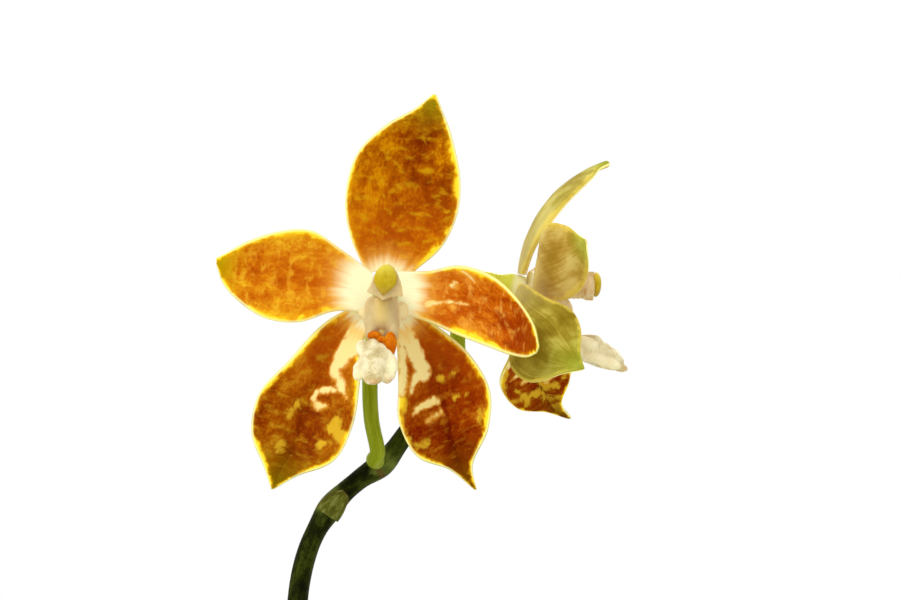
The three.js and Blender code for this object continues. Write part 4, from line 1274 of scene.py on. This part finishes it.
FULL_LIFT_WIDTH = 10  # blades narrower than this are flatter


def flat_point(shape, t, u):
    left, right = spline(shape["left"], t), spline(shape["right"], t)
    return left + (right - left) * ((u + 1) / 2)[..., None]


def flat_width(shape, t):
    return np.linalg.norm(spline(shape["right"], t) - spline(shape["left"], t), axis=-1)


def flat_axis(shape):
    """The middle of the blade's base, and the way from there to its tip."""
    left, right = np.array(shape["left"], float), np.array(shape["right"], float)
    base = (left[0] + right[0]) / 2
    return base, (left[-1] + right[-1]) / 2 - base


def blade_surface(shape, size=1, bend=None, turn=0, twist=0, cup=None, layer=None):
    bend = bend or shape["bend"]
    cup = shape["cup"] if cup is None else cup
    layer = shape["layer"] if layer is None else layer
    base, axis = flat_axis(shape)
    length = np.linalg.norm(axis)
    axis = axis / length
    aside = np.array([axis[1], -axis[0]])
    start = math.radians(bend[0])
    curl = (math.radians(bend[1]) - start) / length
    swing = math.radians(turn)

    def surface(t, u):
        flat = flat_point(shape, t, u) - base
        reach = flat @ axis
        across = flat @ aside
        lean = start + curl * reach
        along = (np.sin(lean) - math.sin(start)) / curl
        edge_lift = cup * u * u * np.sin(np.pi * np.minimum(1, t * 0.86 + 0.1))
        groove = shape["crease"] * hill(u, 0, 0.3) * smoothstep(t, 0.12, 0.5)
        lift = (edge_lift - groove) * smoothstep(flat_width(shape, t), 0, FULL_LIFT_WIDTH)
        roll = math.radians(twist) * smoothstep(t, 0, 0.6)
        side = across * np.cos(roll) - lift * np.sin(roll)
        rise = across * np.sin(roll)
        along = along - rise * np.sin(lean)
        depth = (math.cos(start) - np.cos(lean)) / curl + rise * np.cos(lean) + lift * np.cos(roll)
        x = base[0] + axis[0] * along + aside[0] * side
        z = base[1] + axis[1] * along + aside[1] * side
        turned_x = x * math.cos(swing) + z * math.sin(swing)
        turned_z = -x * math.sin(swing) + z * math.cos(swing)
        return np.stack([turned_x, -(depth + layer), turned_z], -1) * size

    return surface


def to_world(points, flower):
    angle = math.radians(flower["yaw"])
    cos, sin = math.cos(angle), math.sin(angle)
    turn = np.array([[cos, -sin, 0], [sin, cos, 0], [0, 0, 1]])
    return points @ turn.T + np.array(flower["centre"])


def petal_thickness(t, u):
    return lerp(PETAL_THICKNESS, PETAL_EDGE_THICKNESS, u * u * (1 - 0.5 * (1 - t)))


def make_blades(flower, seed):
    for index, (piece, shape) in enumerate(BLADES.items()):
        pose = flower["poses"].get(piece, {})
        pale = CREAM_STROKES.get(piece, []) + flower["cream"].get(piece, [])
        gold = GOLD_PATCHES.get(piece, []) + flower["gold"].get(piece, [])
        # how wide the yellow rim and its painted glow are, thinner on the lateral sepals
        rim = 0.75 if piece.startswith("lateral") else 0.95
        surface = blade_surface(shape, size=flower["size"], **pose)

        def relief(t, u, middle):
            waves = 0.16 * rough_noise(middle, 5, 2, seed + index)
            return waves * smoothstep(t, 0.1, 0.3)

        points, faces, t, u, face = blade(surface, petal_thickness, *PETAL_MESH, relief)
        flat = flat_point(shape, t, u)
        length = np.linalg.norm(flat_axis(shape)[1])
        offset = 31 * index + 7 * seed
        fields = blade_fields(t, u, flat_width(shape, t) / 2, length, offset, offset)
        fields["edge"] = fields["edge"] / lerp(1.5, 0.65, t) / rim
        fields |= {
            "face": face,
            "heart": np.linalg.norm(flat, axis=-1),
            "cream": stroke_distance(pale, *flat.T),
            "gold": stroke_distance(gold, *flat.T),
        }
        add_piece(f"{flower['name']}_{piece}", PETAL_LOOKS[piece],
                  to_world(points, flower), faces, fields)


# The lip, its callus, the column and the anther cap, in the flower's own frame.
def chain(path, first, last, count=14):
    """Balls along a path, whose radii change evenly from the first to the last."""
    way = Path(path)
    first, last = np.array([first, last])
    return [(way.at(s), lerp(first, last, s), (0, 0, 0)) for s in np.linspace(0, 1, count)]


LIP_BALLS = [
    *chain([[0, -2.9, -2.5], [0, -5.2, -5.2], [-0.3, -8.0, -8.2], [-0.9, -10.2, -9.4]],
           [1.2, 1.0, 1.0], [2.3, 1.4, 1.4]),
    ([-1.7, -6.8, -3.6], [1.35, 2.3, 3.0], (-14, 0, 10)),
    ([1.05, -6.8, -3.6], [1.3, 2.3, 3.0], (-14, 0, -10)),
    ([-0.35, -7.6, -3.1], [1.9, 1.7, 2.5], (-14, 0, 0)),
    ([-0.35, -7.3, -5.6], [1.0, 1.1, 1.4], (-14, 0, 0)),
    ([-1.95, -7.6, -5.8], [0.85, 1.5, 1.4], (-14, 0, 4)),
    ([1.3, -7.6, -5.7], [0.85, 1.5, 1.5], (-14, 0, -4)),
    ([-3.0, -5.2, -3.1], [0.8, 1.1, 0.9], (0, 0, 0)),
    ([2.6, -5.2, -2.8], [0.9, 1.1, 1.4], (0, 0, 0)),
    ([-1.2, -13.7, -9.9], [2.2, 4.7, 1.9], (24, 0, 0)),
    ([-2.9, -11.8, -8.1], [0.9, 2.0, 0.9], (24, 0, 0)),
    ([-1.6, -12.4, -8.0], [0.9, 2.2, 1.1], (24, 0, 0)),
    ([0.9, -13.6, -9.9], [1.0, 3.2, 1.1], (24, 0, 12)),
    ([-3.2, -14.2, -10.9], [1.1, 2.8, 1.0], (24, 0, -8)),
    ([-3.5, -15.4, -11.5], [0.9, 2.0, 0.7], (24, 0, 0)),
    ([0.7, -15.6, -11.6], [1.0, 2.2, 0.8], (24, 0, 0)),
    ([-1.2, -16.6, -11.8], [1.5, 2.4, 0.8], (24, 0, 0)),
]
CALLUS_BALLS = [
    ([-1.35, -9.1, -6.3], [1.05, 1.0, 0.7], (0, 0, 0)),
    ([-0.25, -9.3, -7.0], [0.8, 0.9, 0.6], (0, 0, 0)),
    ([0.95, -9.9, -7.4], [0.95, 1.2, 1.7], (0, 0, 0)),
]
COLUMN_BALLS = [
    *chain([[0, -1.0, -0.3], [0, -5.6, 0.3], [0.1, -9.6, 0.9], [0.2, -12.0, 1.1]],
           [1.4, 1.2, 1.4], [1.9, 1.2, 2.2]),
    ([0.3, -12.0, 1.0], [1.6, 1.3, 1.9], (0, 0, 0)),
]
# The hood's outline as seen from the front: a bell with two corners and a point under the cap.
HOOD = [[0.75, 4.0], [-0.1, 3.4], [-0.95, 2.5], [-1.6, 1.5], [-2.0, 0.7], [-2.35, 0.0], [-1.9, -0.25],
        [-1.1, -0.5], [-0.5, -0.9], [-0.1, -1.3], [0.4, -0.95], [1.2, -0.65], [2.75, -0.7], [2.7, 0.4],
        [2.5, 1.4], [2.1, 2.5], [1.5, 3.4]]
HOOD_FRONT = -12.95
HOOD_BACK = -11.4

LIP_HINGE = np.array([0, -2.9, -2.5])
LOBE_CENTRE = np.array([-1.3, -13.9, -10.3])
COLUMN_HINGE = np.array([0, -1, 0])
CAP_CENTRE = np.array([0.32, -13.3, 1.65])
CAP_TILT = 9
CAP_ROWS = 40
CAP_SEGMENTS = 48


def tilted(points, axis, degrees):
    return points @ np.array(Matrix.Rotation(math.radians(degrees), 3, axis)).T


def lowered(points, hinge, degrees):
    """The points with their front lowered by some degrees about a hinge."""
    return tilted(points - hinge, "X", degrees) + hinge


def fuller(points, amount):
    """The lip's lobe made longer, thicker and more level, from none of it (0) to all of it (1)."""
    _, lobe_y, lobe_z = LOBE_CENTRE
    ahead = lobe_y - points[:, 1]
    share = amount * smoothstep(ahead, -5.4, -1.9)
    height = (points[:, 2] - lobe_z) * (1 + 0.2 * share) + share * (0.21 * ahead - 0.3)
    return np.stack([points[:, 0], lobe_y - ahead - 0.14 * share * (ahead + 4.9), lobe_z + height], -1)


def add_flower_piece(flower, piece, slot, look, points, faces):
    """A piece in the flower's own frame, which its look reads too."""
    if piece.startswith("lip"):
        shifted = lowered(fuller(points, flower["fullness"]), LIP_HINGE, flower["droop"])
    else:
        shifted = lowered(points, COLUMN_HINGE, flower["nod"])
    placed = to_world(shifted * flower["size"], flower)
    add_piece(f"{flower['name']}_{piece}", look, placed, faces, {"flower": points})


def crumpled(points, normals, seed):
    """Folds in the lip's skin, deep only on its lobe."""
    folds = rough_noise(points * np.array([1.0, 0.7, 1.0]), 1.9, 2, seed)
    share = smoothstep(-points[:, 1], 9.6, 11.2)
    return points + normals * (0.5 * folds * share + 0.03 * folds)[:, None]


def anther_cap():
    """A beaked cap with a shallow seam down its front, as points and faces."""
    polar = np.linspace(0, np.pi, CAP_ROWS + 1)[1:-1]
    angle = np.arange(CAP_SEGMENTS) / CAP_SEGMENTS * 2 * np.pi
    z = np.cos(polar)[:, None] + 0 * angle
    x = np.sin(polar)[:, None] * np.cos(angle)
    y = np.sin(polar)[:, None] * np.sin(angle)
    beak = 1 - 0.45 * smoothstep(-z, 0.1, 1)
    seam = 1 - 0.10 * hill(x, 0, 0.12) * smoothstep(z, -0.9, 0.3) * (y < 0)
    grid = np.stack([x * 1.62 * beak, y * 0.95 * seam, z * 2.2], -1).reshape(-1, 3)
    points = tilted(np.vstack([grid, [0, 0, 2.25], [0, 0, -2.3]]), "Y", CAP_TILT) + CAP_CENTRE
    return points, closed_faces(CAP_ROWS - 2, CAP_SEGMENTS)


LIP_SKIN = merged_balls("lip", LIP_BALLS, voxel=0.15, smoothing=4)
CALLUS_SKIN = merged_balls("callus", CALLUS_BALLS, voxel=0.12, smoothing=3)
COLUMN_SKIN = merged_balls("column", COLUMN_BALLS, voxel=0.13, smoothing=4,
                           slab=(HOOD, HOOD_FRONT, HOOD_BACK))
ANTHER_CAP = anther_cap()


def make_flower(flower, seed):
    make_blades(flower, seed)
    points, normals, faces = LIP_SKIN
    add_flower_piece(flower, "lip", "lip_cream", LIP_LOOK, crumpled(points, normals, seed), faces)
    for piece, slot, look, (points, normals, faces), height, width in (
            ("lip_callus", "callus_orange", CALLUS_LOOK, CALLUS_SKIN, 0.06, 1.0),
            ("column", "column_cream", COLUMN_LOOK, COLUMN_SKIN, 0.05, 1.8)):
        lumps = height * rough_noise(points, width, 2, seed)
        add_flower_piece(flower, piece, slot, look, points + normals * lumps[:, None], faces)
    add_flower_piece(flower, "anther_cap", "anther_yellow", ANTHER_LOOK, *ANTHER_CAP)


def make_pedicel(flower):
    node = SPIKE_NODES[flower["name"]]
    joint = SPIKE_PATH.at(node)
    tangent = SPIKE_PATH.tangent(node)
    away = np.array(flower["path"][0]) - joint
    away = unit(away - tangent * away.dot(tangent))
    offset = spike_radius(node) + CLEARANCE
    start = [joint + away * offset, joint + away * (offset + 1.2)]
    yaw = math.radians(flower["yaw"])
    forward = np.array([math.sin(yaw), -math.cos(yaw), 0])
    end = [np.array(flower["centre"]) + forward * reach * flower["size"] + [0, 0, up]
           for reach, up in ((-4.2, flower["rise"]), (0.4, 0))]
    path = Path(np.vstack([start, flower["path"], end]))
    widest = RECEPTACLE_RADIUS * flower["size"]

    def radius(t):
        left = (1 - t) * path.length
        ovary = 0.35 * smoothstep(t, 0.35, 0.75)
        throat = (widest - PEDICEL_RADIUS - 0.35) * (1 - smoothstep(left, 1.7, 4.1))
        return PEDICEL_RADIUS + 0.1 * hill(t, 0, 0.05) + ovary + throat

    def skin(t, angle):
        ribs = 0.015 * np.cos(6 * angle + 3 * t) * smoothstep(t, 0.3, 0.6)
        return 1 + ribs + 0.02 * rough_noise(rolled(angle, t * path.length / 4), 0.9, 2, 61)

    points, faces, fields = tube(path, radius, *PEDICEL_MESH, skin)
    add_piece(f"{flower['name']}_pedicel", PEDICEL_LOOK, points, faces, fields)


FLOWERS = [
    dict(name="flower_1", centre=[-1.5, -7, 241.2], yaw=0, size=1, rise=0,
         droop=0, fullness=0, nod=0, poses={}, cream={}, gold={},
         path=[[-2.8, -3, 217.2], [-3.7, -1.8, 222], [-4.0, -0.4, 227.5], [-3.6, 0.6, 233],
               [-2.6, 0, 238.4]]),
    dict(name="flower_2", centre=[18.9, 8, 241.5], yaw=90, size=0.86, rise=1,
         droop=6, fullness=1, nod=3,
         cream={"lateral_sepal_right": [
             [[13.9, -13.4, 0.6], [13.6, -15.6, 1.0], [12.6, -17.4, 0.6]],
             [[10.2, -16.4, 0.3], [11.4, -18.2, 0.5], [11.0, -19.8, 0.3]],
         ]},
         gold={"lateral_sepal_right": [
             [[9.4, -19.6, 0.4], [11.0, -20.8, 0.9], [12.4, -20.2, 0.5]],
             [[7.6, -22.0, 0.4], [9.2, -22.4, 0.7], [10.4, -23.8, 0.6], [12.4, -23.4, 0.6]],
             [[5.2, -20.6, 0.3], [6.4, -22.0, 0.5], [6.8, -23.6, 0.4]],
             [[13.4, -24.6, 1.0], [12.4, -26.4, 1.6], [13.2, -29.0, 1.2]],
         ]},
         path=[[9.2, 1.4, 227.0], [9.3, 2.2, 230.4], [9.2, 3.2, 235.0], [10.2, 4.8, 240.2],
               [12.6, 6.8, 242.8]],
         poses={
             "dorsal_sepal": dict(bend=[5, 72], turn=-6, twist=-12, cup=1.9),
             "petal_left": dict(bend=[1, 38], turn=10, twist=-28, cup=1.5, layer=2.6),
             "petal_right": dict(bend=[5, 36], turn=-9),
             "lateral_sepal_left": dict(bend=[-15, 55], turn=34, twist=50, cup=0.9),
             "lateral_sepal_right": dict(bend=[-6, 46], turn=-12, twist=-85, cup=0.9),
         }),
]

make_pot()
make_bark()
make_stem()
make_roots()
make_leaves()
make_spike()
make_bracts()
for number, flower in enumerate(FLOWERS):
    make_flower(flower, 3 + 10 * number)
    make_pedicel(flower)


# Floor, light and camera, in metres.
FLOOR_RADIUS = 1.1
FLOOR_DROP = 0.0002
FLOWER_HEIGHT = 0.240
CAMERA_SIDE = 0.008
CAMERA_DISTANCE = 0.375
CAMERA_LENS = 100  # mm, with a sensor 36 mm wide


def make_stage():
    bm = bmesh.new()
    bmesh.ops.create_circle(bm, cap_ends=True, segments=96, radius=FLOOR_RADIUS)
    floor = linked("floor", mesh_from("floor", bm))
    floor.location.z = -FLOOR_DROP
    look = Look("pale_floor")
    grain = look.noise(look.place(), 60.0, 4.0)
    colour = look.ramp(grain, [(0.3, rgb(232, 231, 228)), (0.7, rgb(238, 237, 234))])
    floor.data.materials.append(look.finish(colour, 0.9))
    world = scene.world or bpy.data.worlds.new("studio")
    scene.world = world
    world.use_nodes = True
    background = world.node_tree.nodes["Background"]
    background.inputs["Color"].default_value = (1, 1, 1, 1)
    background.inputs["Strength"].default_value = 1.0
    scene.view_settings.view_transform = "Standard"


def add_light(name, place, target, size, power):
    data = bpy.data.lights.new(name, "AREA")
    data.shape = "DISK"
    data.size = size
    data.energy = power
    light = linked(name, data)
    light.location = place
    light.rotation_euler = (Vector(target) - Vector(place)).to_track_quat("-Z", "Y").to_euler()


def make_camera():
    data = bpy.data.cameras.new("camera")
    data.lens = CAMERA_LENS
    data.sensor_width = 36
    data.clip_start = 0.01
    data.clip_end = 20
    camera = linked("camera", data)
    camera.location = (CAMERA_SIDE, -CAMERA_DISTANCE, FLOWER_HEIGHT)
    camera.rotation_euler = (math.radians(90), 0, 0)
    scene.camera = camera


make_stage()
add_light("key", place=(-0.5, -0.7, 0.9), target=(0, 0, 0.2), size=0.5, power=4.0)
add_light("glow", place=(0.25, 0.8, 0.6), target=(0, 0, 0.22), size=0.6, power=4.0)
make_camera()
